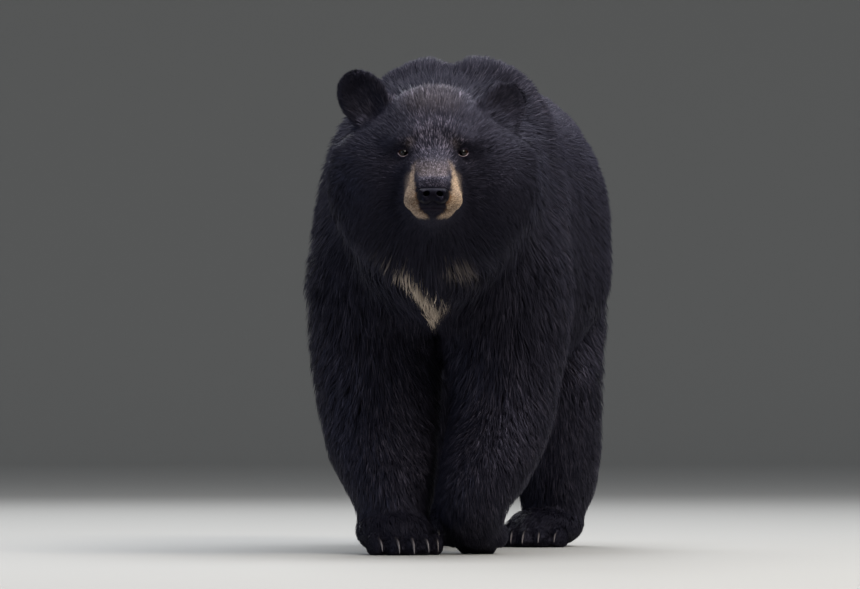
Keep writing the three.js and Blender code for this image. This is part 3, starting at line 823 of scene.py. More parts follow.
def markings(p, share):
    """Four masks at body points: tan muzzle, pale chest, grey frosting that also carries painted light, and
    bare dark skin.
    """
    tan, frost_and_painted_light, lips = face_marks(p, share)
    off_head = 1 - share[:, CRANIUM] - share[:, MUZZLE]
    # Painted top light: the frost mask is raised along the top of the back.
    frost_and_painted_light = frost_and_painted_light + 0.07 * share[:, TRUNK] * ramp(p[:, 2], 760, 900)
    # Pale tufts over the body and more on the legs: partly grizzled hair, partly painted glints of light on
    # single hairs.
    frost_and_painted_light = frost_and_painted_light + 0.022 * off_head + 0.035 * share[:, SHAFT]
    pale = chest_mark(p) * (ramp(-p[:, 1], 60, 130) * off_head)
    sole = share[:, FOOT] * fade(p[:, 2], 2, 9)
    return np.stack([tan, pale, frost_and_painted_light, np.maximum(lips, sole)], 1).clip(0, 1).astype(np.float32)


def drawn_to(a, b, amount):
    """Directions a drawn to b by an amount from 0 to 1: a (1 - s) + b s."""
    return a * (1 - amount[:, None]) + b * amount[:, None]


def directions(x, y, z):
    """Vectors from three columns, each an array or one number."""
    return np.stack(np.broadcast_arrays(x, y, z), 1).astype(np.float32)


def trunk_lies(p):
    """Lie over the trunk, back and down its sides, and over the neck; both fall on the chest."""
    x, y, z = p.T
    down_side = ramp(900 - z, 0, 330)
    trunk_lie = directions(0.15 * np.sign(x) * down_side, 0.95 - 0.35 * down_side, -0.85 * down_side)
    neck_lie = directions(0.25 * (x - 30) / 200, 0.85, -0.25 - 0.75 * ramp(860 - z, 0, 300))
    chest_lie = directions(0.003 * (x - 10), 0.1, -1.0)
    chest = ramp(-y, 20, 170) * ramp(760 - z, 0, 160)
    throat = ramp(-y, 60, 260) * ramp(700 - z, 0, 120)
    return drawn_to(trunk_lie, chest_lie, chest), drawn_to(neck_lie, chest_lie, throat)


def head_lies(p):
    """Lie over the head and the muzzle: away from a point in the brow and one before the nose."""
    q = to_head(p)
    from_brow = q - np.array((0, -70, -50), np.float32)
    head_lie = from_brow / (60 + length(from_brow))[:, None]
    head_lie[:, 1] += 0.25
    fall = 0.75 * ramp(np.abs(q[:, 0]), 70, 160) * ramp(-q[:, 2], -40, 80)
    head_lie = drawn_to(head_lie, np.array((0, 0.3, -0.9), np.float32), fall)
    from_nose = unit(q - np.array((0, -168, -84), np.float32))
    back = np.array((0, 0.8, 0.1), np.float32)
    muzzle_lie = from_nose + back * ramp(q[:, 1], -115, -60)[:, None]
    turn = HEAD_TURN.T.astype(np.float32)
    return head_lie @ turn, muzzle_lie @ turn


def ear_lies(p):
    """Lie over each ear: up it and outwards from its middle."""
    ear_lie = np.zeros_like(p)
    for own, at in EARS.values():
        close = (length(p - at) < 110)[:, None]
        spread = directions(into(p, own, at)[:, 0] * 0.012, 0, 0.6)
        ear_lie = np.where(close, spread @ own.T.astype(np.float32), ear_lie)
    return ear_lie


def leg_lies(p):
    """Lie over the shafts, down and outwards from a parting in front, and forwards over the feet."""
    x, y, z = p.T
    shaft_lie, foot_lie = np.zeros_like(p), np.zeros_like(p)
    for leg, mine in nearest_legs(p):
        middle_x, middle_y = leg_middle(leg, z)
        backward = ramp(y - middle_y, -110, 40)
        outward = (x - middle_x) / 90
        down = directions(0.55 * outward * (1 - 0.5 * backward), 0.15 + 0.5 * backward, -1.05)
        shaft_lie = np.where(mine, down, shaft_lie)
        own, at = leg["frame"]
        toes = directions(into(p, own, at)[:, 0] * 0.003, -0.9, -0.45)
        foot_lie = np.where(mine, toes @ own.T.astype(np.float32), foot_lie)
    return shaft_lie, foot_lie


def lie_of_coat(p, share, normals):
    """Unit direction in which the hair lies, along the skin.

    The regions' lies are added by their shares, laid flat on the skin, and turned a little to
    and fro by noise, so that the coat swirls.
    """
    tail_lie = directions(p[:, 0] * 0.006, 0.35, -0.9)
    parts = [*trunk_lies(p), *head_lies(p), ear_lies(p), tail_lie, *leg_lies(p)]
    lie = sum(share[:, i : i + 1] * unit(part) for i, part in enumerate(parts))
    swirl = 0.22 * lattice_noise(p, 130, 11) + 0.16 * lattice_noise(p, 45, 12)
    swirl = swirl * (1 - share[:, MUZZLE] * 0.8)
    lie = unit(lie - (lie * normals).sum(1, keepdims=True) * normals)
    return unit(lie + swirl[:, None] * np.cross(normals, lie)).astype(np.float32)


# ---- Tufts: blades whose middle line leaves the skin, bends back and ends at the coat's outline.


def nearest_lock(p, size, seed):
    """The nearest of scattered lock centres, one to each cube of that size, and its random."""
    table = np.random.default_rng(seed).uniform(0, 1, (TABLE, 4)).astype(np.float32)
    cell = np.floor(p / size).astype(np.int64)
    best = np.full(len(p), 1e9, np.float32)
    centre = np.zeros_like(p)
    chance = np.zeros(len(p), np.float32)
    for corner in np.ndindex(3, 3, 3):
        own = cell + corner - 1
        key = table_key(own)
        spot = ((own + table[key, :3]) * size).astype(np.float32)
        away = length(spot - p)
        nearer = away < best
        best = np.where(nearer, away, best)
        centre = np.where(nearer[:, None], spot, centre)
        chance = np.where(nearer, table[key, 3], chance)
    return centre, chance


def blade_faces(count, spans):
    """Corners of the faces of blades, each face's first corner, and the points of one blade.

    A blade has a quad to each span but the last, which ends in a triangle at the tip.
    """
    per = 2 * spans + 1
    corners, starts = [], []
    for k in range(spans - 1):
        starts.append(len(corners))
        corners += [2 * k, 2 * k + 1, 2 * k + 3, 2 * k + 2]
    starts.append(len(corners))
    corners += [per - 3, per - 2, per - 1]
    base = np.arange(count)[:, None]
    return (base * per + corners).reshape(-1), (base * len(corners) + starts).reshape(-1), per


def blades(root, spans, draws):
    """Flat tapering blades from roots, as points, faces and the values that go with the points.

    root holds arrays: at, normal, lie, rise, long, wide and pull. At t along a blade the height
    over the skin is rise * layer * (1 - (1 - t)^2), less 0.6 mm at the root, the way along the
    lie is long * t, and the line is drawn in towards its lock's middle by pull * t^1.4.
    """
    at, normal, lie = root["at"], root["normal"], root["lie"]
    count = len(at)
    lie = unit(lie + draws.normal(0, 0.1, (count, 1)) * np.cross(normal, lie)).astype(np.float32)
    aside = np.cross(normal, lie).astype(np.float32)
    lock, chance = nearest_lock(at, root["lock_size"], 31)
    small_lock, small_chance = nearest_lock(at, root["lock_size"] * 0.4, 32)
    long = root["long"] * draws.uniform(0.7, 1.1, count) * (0.85 + 0.3 * chance)
    layer = draws.uniform(0.45, 1.0, count) ** 0.8 * (0.86 + 0.18 * chance)
    towards = ((lock - at) * aside).sum(1) * 0.62 + ((small_lock - at) * aside).sum(1) * 0.5
    reach = np.clip(towards, -root["long"] * 0.4, root["long"] * 0.4) * root["pull"]
    wave = draws.uniform(-1, 1, count) * 0.035 * long
    phase = draws.uniform(0, 2 * np.pi, count)
    roll = draws.normal(0, 0.45, count)
    own_chance = draws.uniform(0, 1, count)
    across = aside * np.cos(roll)[:, None] + normal * np.sin(roll)[:, None]
    under = coat_field(at)
    steps = np.linspace(0, 1, spans + 1) ** 0.9
    lines = []
    for t in steps:
        height = root["rise"] * layer * (1 - (1 - t) ** 2) - 0.6 * (1 - t)
        line = at + lie * (long * t)[:, None] + normal * height[:, None]
        sideways = reach * t**1.4 + wave * np.sin(3 * t + phase) * t
        line = line + aside * sideways[:, None]
        if t > 0:
            miss = coat_field(line.astype(np.float32)) - under - height
            line = line - normal * np.clip(miss, -0.35 * long, 0.6 * long)[:, None]
        lines.append(line)
    columns = []
    for line, share in zip(lines[:-1], np.interp(steps, [0, 0.3, 0.65, 1], [0.75, 1.0, 0.72, 0.0])):
        half = across * (root["wide"] * share / 2)[:, None]
        columns += [line - half, line + half]
    columns.append(lines[-1])
    loops, starts, per = blade_faces(count, spans)
    return dict(
        middle=(0.45 * lines[-2] + 0.55 * lines[-1]).astype(np.float32),
        points=np.stack(columns, 1).reshape(-1, 3).astype(np.float32),
        loops=loops,
        starts=starts,
        per=per,
        along=np.tile(np.append(np.repeat(steps[:-1], 2), 1.0), count),
        across=np.tile(np.append(np.tile([0.0, 1.0], spans), 0.5), count),
        chance=np.repeat(0.6 * own_chance + 0.4 * small_chance, per),
        lie=lie,
    )


# ---- Materials.


def linear(code):
    """Linear RGBA from an sRGB hex colour."""
    channels = [int(code[i : i + 2], 16) / 255 for i in (1, 3, 5)]
    return [c / 12.92 if c <= 0.04045 else ((c + 0.055) / 1.055) ** 2.4 for c in channels] + [1.0]


def node(tree, kind, links=(), **settings):
    """Adds a node: settings that name an input set its value, others set the node's own property.

    links are (input name or number, node, output name or number).
    """
    made = tree.nodes.new(kind)
    for key, value in settings.items():
        if key in made.inputs:
            made.inputs[key].default_value = value
        else:
            setattr(made, key, value)
    for target, source, output in links:
        tree.links.new(source.outputs[output], made.inputs[target])
    return made


def new_material(name):
    """A material with an empty node tree."""
    material = bpy.data.materials.new(name)
    material.use_nodes = True
    material.node_tree.nodes.clear()
    return material, material.node_tree


def principled(tree, links, **settings):
    """Principled shader on the material's output, with its links and constant settings."""
    shader = node(tree, "ShaderNodeBsdfPrincipled", links, **settings)
    node(tree, "ShaderNodeOutputMaterial", [("Surface", shader, 0)])


def attribute(tree, name):
    """Reads values kept on the points."""
    return node(tree, "ShaderNodeAttribute", attribute_name=name)


def ranged(tree, source, low, high, start=0.0, end=1.0):
    """A (node, output) whose values from start to end become low to high."""
    spread = {"From Min": start, "From Max": end, "To Min": low, "To Max": high}
    return node(tree, "ShaderNodeMapRange", [("Value", *source)], **spread)


def maths(tree, operation, a, b, clamp=False):
    """An operation on two (node, output)."""
    return node(tree, "ShaderNodeMath", [(0, *a), (1, *b)], operation=operation, use_clamp=clamp)


def scaled(tree, colour, factor):
    """A (node, output) colour times a (node, output) factor."""
    return node(tree, "ShaderNodeVectorMath", [(0, *colour), ("Scale", *factor)], operation="SCALE")


def texture(tree, kind, scale, **settings):
    """A 3-D texture in the object's own coordinates, its scale per metre."""
    place = node(tree, "ShaderNodeTexCoord")
    return node(tree, kind, [("Vector", place, "Object")], Scale=scale, **settings)


def mix_colour(tree, factor, a, b):
    """Colour a, then b as the factor rises. Each of a and b is a hex colour or (node, output)."""
    mix = node(tree, "ShaderNodeMix", data_type="RGBA")
    tree.links.new(factor[0].outputs[factor[1]], mix.inputs[0])
    for number, colour in ((6, a), (7, b)):
        if isinstance(colour, str):
            mix.inputs[number].default_value = linear(colour)
        else:
            tree.links.new(colour[0].outputs[colour[1]], mix.inputs[number])
    return mix, 2


def marked_colour(tree, dark, tan, pale, frost_and_painted_light, bare, tan_deep):
    """The markings' colour, from the masks in the marks attribute and a random per tuft.

    Returns the colour and the nodes of the marks and of the random.
    """
    marks = attribute(tree, "marks")
    parts = node(tree, "ShaderNodeSeparateColor", [("Color", marks, "Color")])
    chance = attribute(tree, "chance")
    tans = mix_colour(tree, (chance, "Fac"), tan_deep, tan)
    # Frosted tufts are lightened at random, a few far paler: partly pale hair, partly painted glints on
    # single hairs.
    some = ranged(tree, (chance, "Fac"), 0.1, 4.2, 0.6)
    flecks = maths(tree, "MULTIPLY", (parts, "Blue"), (some, 0), clamp=True)
    colour = mix_colour(tree, (flecks, 0), dark, frost_and_painted_light)
    colour = mix_colour(tree, (parts, "Red"), colour, tans)
    colour = mix_colour(tree, (parts, "Green"), colour, pale)
    return mix_colour(tree, (marks, "Alpha"), colour, bare), marks, chance


def coat_material():
    """Bear's guard hair, solid strands with a melanin core and a smooth oily scale surface.

    Near-black at the root, a trace browner and lighter at the tip. The strands are glossy along
    their lie, which gives the eye a soft sheen that runs across the locks.
    """
    material, tree = new_material("guard_hair")
    colour, _, chance = marked_colour(
        tree,
        dark="#09080c",
        tan="#dcc09f",
        pale="#b5a694",
        frost_and_painted_light="#7b7482",
        bare="#1a1314",
        tan_deep="#a08a72",
    )
    tip = ranged(tree, (attribute(tree, "along"), "Fac"), 0.5, 1.2, 0.1)
    spread = ranged(tree, (chance, "Fac"), 0.5, 1.5)
    # Painted shade: the shade attribute darkens the base colour, and roughness rises there to dull the
    # sheen.
    shadow = attribute(tree, "shade")
    level = maths(tree, "MULTIPLY", (tip, 0), (spread, 0))
    level = maths(tree, "MULTIPLY", (level, 0), (shadow, "Fac"))
    shade = scaled(tree, colour, (level, 0))
    lie = attribute(tree, "lie")
    own = node(tree, "ShaderNodeNewGeometry")
    outward = attribute(tree, "outward")
    facing = node(tree, "ShaderNodeMix", [(4, own, "Normal"), (5, outward, "Vector")], data_type="VECTOR")
    facing.inputs[0].default_value = 0.25
    normal = node(tree, "ShaderNodeVectorMath", [(0, facing, 1)], operation="NORMALIZE")
    rough = ranged(tree, (chance, "Fac"), 0.74, 0.4)
    duller = ranged(tree, (shadow, "Fac"), 0.5, 0.0)
    rough = maths(tree, "ADD", (rough, 0), (duller, 0), clamp=True)
    links = [("Base Color", shade, 0), ("Tangent", lie, "Vector"), ("Normal", normal, 0)]
    principled(
        tree,
        links + [("Roughness", rough, 0)],
        IOR=1.5,
        Anisotropic=0.5,
        **{"Specular Tint": linear("#c9c7f0"), "Sheen Weight": 0.06, "Sheen Tint": linear("#9a9ad8")},
    )
    return material


def skin_material():
    """Bear's hide under the coat: dark skin felted over by short underfur.

    Fine hair-sized bumps keep it dull, so that gaps between tufts read as deep fur. Where it is
    bare, on the lips and lid rims, it is smooth, moist and darker. It is darkened by painted shade,
    and the lower lid rims carry a pale painted highlight, the glint of their tear film.
    """
    material, tree = new_material("hide_with_underfur")
    colour, marks, _ = marked_colour(
        tree,
        dark="#070609",
        tan="#8d6b4b",
        pale="#8a7d70",
        frost_and_painted_light="#2c2a30",
        bare="#100a0b",
        tan_deep="#6e5239",
    )
    # Painted shade darkens the colour, and the lower lid rims get a pale painted highlight, the glint of
    # the tear film.
    dimmed = scaled(tree, colour, (attribute(tree, "shade"), "Fac"))
    final = mix_colour(tree, (attribute(tree, "painted_lid_glint"), "Fac"), (dimmed, 0), "#93868c")
    fur = texture(tree, "ShaderNodeTexNoise", 700.0, Detail=2.0)
    rise = ranged(tree, (marks, "Alpha"), 0.5, 0.08)
    bump = node(tree, "ShaderNodeBump", [("Height", fur, "Fac"), ("Strength", rise, 0)], Distance=0.001)
    rough = ranged(tree, (marks, "Alpha"), 0.85, 0.68)
    principled(
        tree,
        [("Base Color", *final), ("Normal", bump, 0), ("Roughness", rough, 0)],
        IOR=1.4,
        **{"Specular Tint": linear("#b4aee0")},
    )
    return material


def nose_material():
    """Bear's nose pad: thick wet skin, domed in pebbles of about 1 mm, nearly black."""
    material, tree = new_material("moist_nose_leather")
    pebbles = texture(tree, "ShaderNodeTexVoronoi", 820.0)
    fine = texture(tree, "ShaderNodeTexNoise", 300.0, Detail=4.0)
    bump = node(tree, "ShaderNodeBump", [("Height", pebbles, "Distance")],
                Strength=0.45, Distance=0.0006, invert=True)
    colour = mix_colour(tree, (fine, "Fac"), "#040305", "#0d0a0e")
    principled(
        tree,
        [("Base Color", *colour), ("Normal", bump, 0)],
        Roughness=0.4,
        IOR=1.36,
        **{"Specular IOR Level": 0.24, "Specular Tint": linear("#aeaee6"), "Coat Weight": 0.06,
           "Coat Roughness": 0.2, "Coat IOR": 1.34, "Coat Tint": linear("#c4c4f0")},
    )
    return material


# Eyeball colours by angle from the look direction, 0 to 1: pupil, iris, its dark rim, the white.
EYE_STOPS = [(0.0, "#020202"), (0.27, "#020202"), (0.31, "#1c0f09"), (0.52, "#28160d"),
             (0.62, "#0a0605"), (0.75, "#14100f"), (1.0, "#221c1a")]


def eye_material():
    """Bear's eyeball: dark brown iris round a black pupil, under a clear wet cornea."""
    material, tree = new_material("wet_brown_eye")
    bands = node(tree, "ShaderNodeValToRGB", [("Fac", attribute(tree, "angle"), "Fac")])
    elements = bands.color_ramp.elements
    while len(elements) < len(EYE_STOPS):
        elements.new(0.5)
    for element, (position, colour) in zip(elements, EYE_STOPS):
        element.position = position
        element.color = linear(colour)
    fibres = texture(tree, "ShaderNodeTexNoise", 900.0, Detail=3.0)
    flecks = ranged(tree, (fibres, "Fac"), 0.6, 1.4)
    shade = scaled(tree, (bands, 0), (flecks, 0))
    principled(
        tree,
        [("Base Color", shade, 0)],
        Roughness=0.3,
        **{"Specular IOR Level": 0.0, "Coat Weight": 1.0, "Coat Roughness": 0.02, "Coat IOR": 1.34},
    )
    return material


def claw_material():
    """Bear's claw: layered horn, dark at the root, paler towards the tip, streaked lengthways."""
    material, tree = new_material("claw_horn_dark_to_pale")
    streaks = texture(tree, "ShaderNodeTexNoise", 420.0, Detail=3.0)
    tip = node(tree, "ShaderNodeMath", [(0, attribute(tree, "along"), "Fac")], operation="POWER")
    tip.inputs[1].default_value = 1.6
    dark_to_pale = mix_colour(tree, (tip, 0), "#181416", "#a39c9f")
    some = node(tree, "ShaderNodeMath", [(0, streaks, "Fac")], operation="MULTIPLY")
    some.inputs[1].default_value = 0.4
    colour = mix_colour(tree, (some, 0), dark_to_pale, "#4b4143")
    bump = node(tree, "ShaderNodeBump", [("Height", streaks, "Fac")], Strength=0.3, Distance=0.0005)
    principled(tree, [("Base Color", *colour), ("Normal", bump, 0)], Roughness=0.36, IOR=1.54)
    return material


def floor_material():
    """Painted studio floor: flat pale grey emulsion, rolled on, with no gloss."""
    material, tree = new_material("pale_studio_paint")
    principled(tree, [], Roughness=0.75, **{"Base Color": linear("#adadaa")})
    return material


# ---- Meshes.


def mesh_object(name, points, loops, starts, material):
    """Object from points in the body's frame, corner indices and each face's first corner."""
    mesh = bpy.data.meshes.new(name)
    places = ((points + SHIFT) * MM).astype(np.float32)
    mesh.vertices.add(len(places))
    mesh.vertices.foreach_set("co", places.ravel())
    mesh.loops.add(len(loops))
    mesh.loops.foreach_set("vertex_index", loops.astype(np.int32).ravel())
    mesh.polygons.add(len(starts))
    mesh.polygons.foreach_set("loop_start", starts.astype(np.int32))
    mesh.update(calc_edges=True)
    mesh.polygons.foreach_set("use_smooth", np.ones(len(starts), bool))
    mesh.materials.append(material)
    made = bpy.data.objects.new(name, mesh)
    bpy.context.scene.collection.objects.link(made)
    return made


def quad_object(name, points, quads, material):
    """Object whose faces are all quads."""
    return mesh_object(name, points, quads.reshape(-1), np.arange(len(quads)) * 4, material)


def keep(obj, name, values):
    """Stores values as a point attribute: one number, a vector or a colour to each point."""
    kind = {1: "FLOAT", 3: "FLOAT_VECTOR", 4: "FLOAT_COLOR"}[1 if values.ndim == 1 else values.shape[1]]
    stored = obj.data.attributes.new(name, kind, "POINT")
    field = {"FLOAT": "value", "FLOAT_VECTOR": "vector", "FLOAT_COLOR": "color"}[kind]
    stored.data.foreach_set(field, np.ascontiguousarray(values, np.float32).ravel())


def grid_quads(rows, columns):
    """Quads of a grid of rows by columns of points whose columns close into a ring."""
    k = np.arange(rows - 1)[:, None] * columns
    i = np.arange(columns)[None]
    j = (i + 1) % columns
    return np.stack([k + i, k + j, k + columns + j, k + columns + i], -1).reshape(-1, 4)


def capped(points, quads, columns):
    """A tube of rings whose ends are closed by fans of triangles to the end rings' middles."""
    first, last = len(points), len(points) + 1
    ends = np.stack([points[:columns].mean(0), points[-columns:].mean(0)])
    points = np.concatenate([points, ends])
    i = np.arange(columns)
    j = (i + 1) % columns
    top = first - columns
    low_fan = np.stack([j, i, np.full(columns, first)], 1)
    high_fan = np.stack([top + i, top + j, np.full(columns, last)], 1)
    loops = np.concatenate([quads.reshape(-1), low_fan.reshape(-1), high_fan.reshape(-1)])
    starts = np.concatenate([np.arange(len(quads)) * 4, len(quads) * 4 + np.arange(2 * columns) * 3])
    return points, loops, starts


EYE_RINGS, EYE_ROUND = 48, 64
CORNEA_RISE, CORNEA_HALF = 1.2, 0.5
# Scale of the angle kept on the eyeball, which is 1 at 112 degrees from the look direction.
ANGLE_SCALE = 1.6
GAZE_TURN = 0.05


def eyeball(side, material):
    """Rings about the look direction at angle a: radius R + 1.2 exp(-(a / 0.5)^2), the cornea."""
    angles = np.linspace(0.002, np.pi - 0.002, EYE_RINGS)
    around = np.linspace(0, 2 * np.pi, EYE_ROUND, endpoint=False)
    a, u = np.meshgrid(angles, around, indexing="ij")
    r = EYE_RADIUS + CORNEA_RISE * bump_at(a, 0, CORNEA_HALF)
    local = np.stack([r * np.sin(a) * np.cos(u), -r * np.cos(a), r * np.sin(a) * np.sin(u)], -1)
    look = euler(0, 0, side * GAZE_TURN)
    head = out_of(local.reshape(-1, 3).astype(np.float32), look, EYE_CENTRE[side])
    quads = grid_quads(EYE_RINGS, EYE_ROUND)
    points, loops, starts = capped(from_head(head), quads, EYE_ROUND)
    name = "right" if side < 0 else "left"
    obj = mesh_object("eyeball_" + name, points, loops, starts, material)
    keep(obj, "angle", np.concatenate([a.reshape(-1), [0, np.pi]]) / np.pi * ANGLE_SCALE)
    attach(obj, "root")
    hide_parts("eye_" + name)
    return obj


def nose_piece(material):
    """Net of the nose pad's own surface at 0.8 mm."""
    warp = evenly(0.8, (0, -112, -84))
    g, quads = net(nose_surface, (-42, -64, -34), (42, 0, 34), warp)
    points = settle(nose_surface, warp(g), 2, 0.5)
    obj = quad_object("nose_pad", from_head(points), quads, material)
    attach(obj, "root")
    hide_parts("nose")
    return obj


# Claws by paw: radius, length along the arc, how far ahead of and over the toe, and droop.
CLAWS = {
    "fore_right": (8.0, 34.0, 18.0, 6.0, 0.36),
    "fore_left": (8.0, 34.0, 14.0, -6.0, 0.9),
    "hind_left": (7.0, 27.2, 18.0, 6.0, 0.4),
    "hind_right": (7.0, 27.2, 18.0, 6.0, 0.4),
}
# Yaw and scale of the five claws of a paw.
CLAW_VARIETY = [(0.16, 0.86), (0.05, 1.0), (-0.05, 1.05), (0.1, 0.96), (-0.12, 0.9)]
CLAW_ARC = 1.2
CLAW_ROOT = -0.35
CLAW_RINGS, CLAW_ROUND = 28, 20


def claw_set(name, material):
    """Five claws of a paw: an oval section that shrinks as (1 - t)^0.7 along an arc of 1.2 rad."""
    leg = LEGS[name]
    radius, reach, ahead, raised, droop = CLAWS[name]
    width, long = leg["paw"][3:5]
    t = np.linspace(CLAW_ROOT, 1, CLAW_RINGS)
    u = np.linspace(0, 2 * np.pi, CLAW_ROUND, endpoint=False)
    tt, uu = np.meshgrid(t, u, indexing="ij")
    sweep = reach / CLAW_ARC
    taper = np.clip(1 - tt, 0.015, 1) ** 0.7 * np.where(tt < 0, 1 + tt * 0.6, 1)
    rise = taper * radius * 0.64 * np.cos(uu) * np.where(np.cos(uu) < 0, 0.85, 1.0)
    bend = tt * CLAW_ARC
    aside = taper * radius * 0.4 * np.sin(uu)
    forward = -(sweep + rise) * np.sin(bend)
    upward = rise * np.cos(bend) - sweep * (1 - np.cos(bend))
    local = np.stack([aside, forward, upward], -1).reshape(-1, 3)
    quads = grid_quads(len(t), len(u))
    all_points, all_loops, all_starts, all_along = [], [], [], []
    for number in TOES:
        x, y, z = toe_place(number, width, long)
        yaw, scale = CLAW_VARIETY[number + 2]
        own = euler(droop, 0, yaw, "ZYX")
        paw = out_of((local * scale).astype(np.float32), own, (x, y - ahead, z + raised))
        points, loops, starts = capped(out_of(paw, *leg["frame"]), quads, len(u))
        offset, corner = sum(map(len, all_points)), sum(map(len, all_loops))
        all_points.append(points)
        all_loops.append(loops + offset)
        all_starts.append(starts + corner)
        all_along.append(np.concatenate([tt.reshape(-1), [t[0], 1.0]]).clip(0, 1))
    points = np.concatenate(all_points)
    loops, starts = np.concatenate(all_loops), np.concatenate(all_starts)
    obj = mesh_object("claws_" + name, points, loops, starts, material)
    keep(obj, "along", np.concatenate(all_along))
    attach(obj, "root")
    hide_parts(*[f"claw_{name}_{number + 3}" for number in TOES])
    return obj


# ---- Skin and coat.

FLESH = [
    "head", "muzzle", "lower_jaw", "ear_right", "ear_left", "neck", "chest", "belly", "rump", "tail",
    "upper_foreleg_right", "upper_foreleg_left", "forearm_right", "forearm_left",
    "forepaw_right", "forepaw_left", "thigh_right", "thigh_left", "shank_right", "shank_left",
    "hindpaw_right", "hindpaw_left",
]


def make_skin(material):
    """The skin's net with the two lid patches joined to it, and the values tufts grow from."""
    points, quads = skin_net()
    # wet holds the lower lid rims, where a pale painted highlight lies.
    bare, wet, lid = np.zeros((3, len(points)), np.float32)
    for side in SIDES:
        lid_points, lid_quads, lid_bare, lid_glint = lid_patch(side)
        quads = np.concatenate([quads, lid_quads + len(points)])
        points = np.concatenate([points, lid_points]).astype(np.float32)
        bare = np.concatenate([bare, lid_bare])
        wet = np.concatenate([wet, lid_glint])
        lid = np.concatenate([lid, np.ones(len(lid_points), np.float32)])
    normals = vertex_normals(points, quads)
    share = regions(points)
    marks = markings(points, share)
    marks[:, 3] = np.maximum(marks[:, 3], bare)
    values = dict(
        at=points,
        normal=normals,
        share=share,
        marks=marks,
        lid=lid,
        depth=coat_depth(points, share).astype(np.float32),
        lie=lie_of_coat(points, share, normals),
    )
    values["long"], values["rise"], values["inner"] = hair_sizes(values)
    skin = quad_object("skin", points, quads, material)
    keep(skin, "marks", marks)
    # Pale painted highlight on the lower lid rims.
    keep(skin, "painted_lid_glint", wet)
    keep(skin, "chance", 0.5 + 0.5 * lattice_noise(points, 4, 5))
    keep(skin, "shade", shade_of(points, normals, values["inner"], marks[:, 1]))
    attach(skin, "root")
    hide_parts(*FLESH)
    return values, quads


EYE_CLEAR = 19


def from_eyes(q):
    """Distance of points of the head's frame from the nearer eye."""
    return np.minimum(*[length(q - np.array(EYE_CENTRE[side], np.float32)) for side in SIDES])


def hair_density(values):
    """Tufts wanted for each square millimetre of skin, up to a factor, by length and place."""
    q = to_head(values["at"])
    normal = values["normal"]
    density = 1 / (0.75 + 0.045 * values["long"]) ** 2
    density = density * (1 + 0.9 * ramp(-normal[:, 1], -0.3, 0.5))
    density = density * (1 - 0.5 * ramp(-normal[:, 2], 0.3, 0.9))
    density = density * (1 - values["marks"][:, 3]) * ramp(values["at"][:, 2], 1.5, 5)
    density = density * ramp(nose_pad(q), 0.5, 2.0)
    return density * np.where((values["lid"] < 0.5) & (from_eyes(q) < EYE_CLEAR), 0, 1)


def hair_sizes(values):
    """Length and rise of the tufts, and how far inside an ear each point is.

    Both sizes follow the coat's depth: short round the eyes, over the nose and inside the ears,
    long on the ruff, the belly, the tail and the backs of the legs.
    """
    p, share, depth = values["at"], values["share"], values["depth"]
    q = to_head(p)
    x, y, z = q.T
    eye = 0.16 + 0.84 * ramp(from_eyes(q), 12, 46)
    least = 0.42 + 0.33 * ramp(-z, 66, 76)
    hood = least + (1 - least) * ramp(nose_pad(q), 6, 30)
    inner = np.zeros(len(p), np.float32)
    for own, at in EARS.values():
        cup = egg((0, -17, 0), (40, 20, 53))(into(p, own, at))
        inner = np.maximum(inner, fade(cup, -1, 3) * share[:, EAR])
    fringe = share[:, SHAFT] * ramp(p[:, 2], 50, 80) * fade(p[:, 2], 130, 190)
    long = 3 + 1.5 * depth + 16 * fringe + 26 * share[:, TAIL] + 10 * share[:, EAR]
    long = long + 14 * share[:, FOOT] * ramp(p[:, 2], 24, 60)
    ruff = ramp(y, 40, 110) * fade(y, 230, 330) * ramp(-z, -40, 40)
    ruff = ruff * np.maximum(ramp(np.abs(x), 60, 130), ramp(-z, 90, 140))
    chest = ramp(-p[:, 1], 100, 200) * fade(p[:, 2], 560, 640) * share[:, TRUNK]
    belly = ramp(-values["normal"][:, 2], 0.45, 0.9) * ramp(p[:, 2], 240, 300) * ramp(p[:, 1], -60, 100)
    long = (long + 12 * ruff + 18 * belly) * (1 - 0.3 * chest) * (1 - 0.25 * share[:, MUZZLE])
    ear_base = np.minimum(*[length(p - at) for own, at in EARS.values()])
    base = 0.62 + 0.38 * ramp(ear_base, 55, 105)
    factor = eye * hood * np.where(share[:, EAR] < 0.5, base, 1)
    rise = depth * (1 + 0.1 * ruff + 0.45 * belly + 0.4 * share[:, EAR]) * factor * (1 - 0.6 * inner)
    return long * factor * (1 - 0.3 * inner), rise, inner


def sow(values, quads, weight, count, draws):
    """Roots spread over quads in proportion to area times weight, at random within each quad."""
    a, b, c, d = (values["at"][quads[:, i]] for i in range(4))
    area = length(np.cross(c - a, d - b)) / 2
    chance = np.cumsum(area * weight)
    picked = np.searchsorted(chance, draws.uniform(0, chance[-1], count))
    picked = quads[np.clip(picked, 0, len(quads) - 1)]
    s, t = draws.uniform(0, 1, (2, count)).astype(np.float32)
    shares = [(1 - s) * (1 - t), s * (1 - t), s * t, (1 - s) * t]
    root = {}
    for key, value in values.items():
        total = 0
        for column, factor in enumerate(shares):
            part = value[picked[:, column]]
            total = total + part * (factor if part.ndim == 1 else factor[:, None])
        root[key] = total
    root["normal"] = unit(root["normal"])
    root["lie"] = unit(root["lie"] - (root["lie"] * root["normal"]).sum(1, keepdims=True) * root["normal"])
    return root


def circled(a, b):
    """Direction in a plane as a share of a full turn, 0 to 1."""
    return np.arctan2(a, b) / (2 * np.pi) + 0.5


def unwrap_head(p):
    """Longitude and latitude about the middle of the head."""
    q = unit(to_head(p) - np.array((0, 90, -45), np.float32))
    return np.stack([circled(q[:, 0], -q[:, 1]), np.arcsin(q[:, 2]) / np.pi + 0.5], 1)


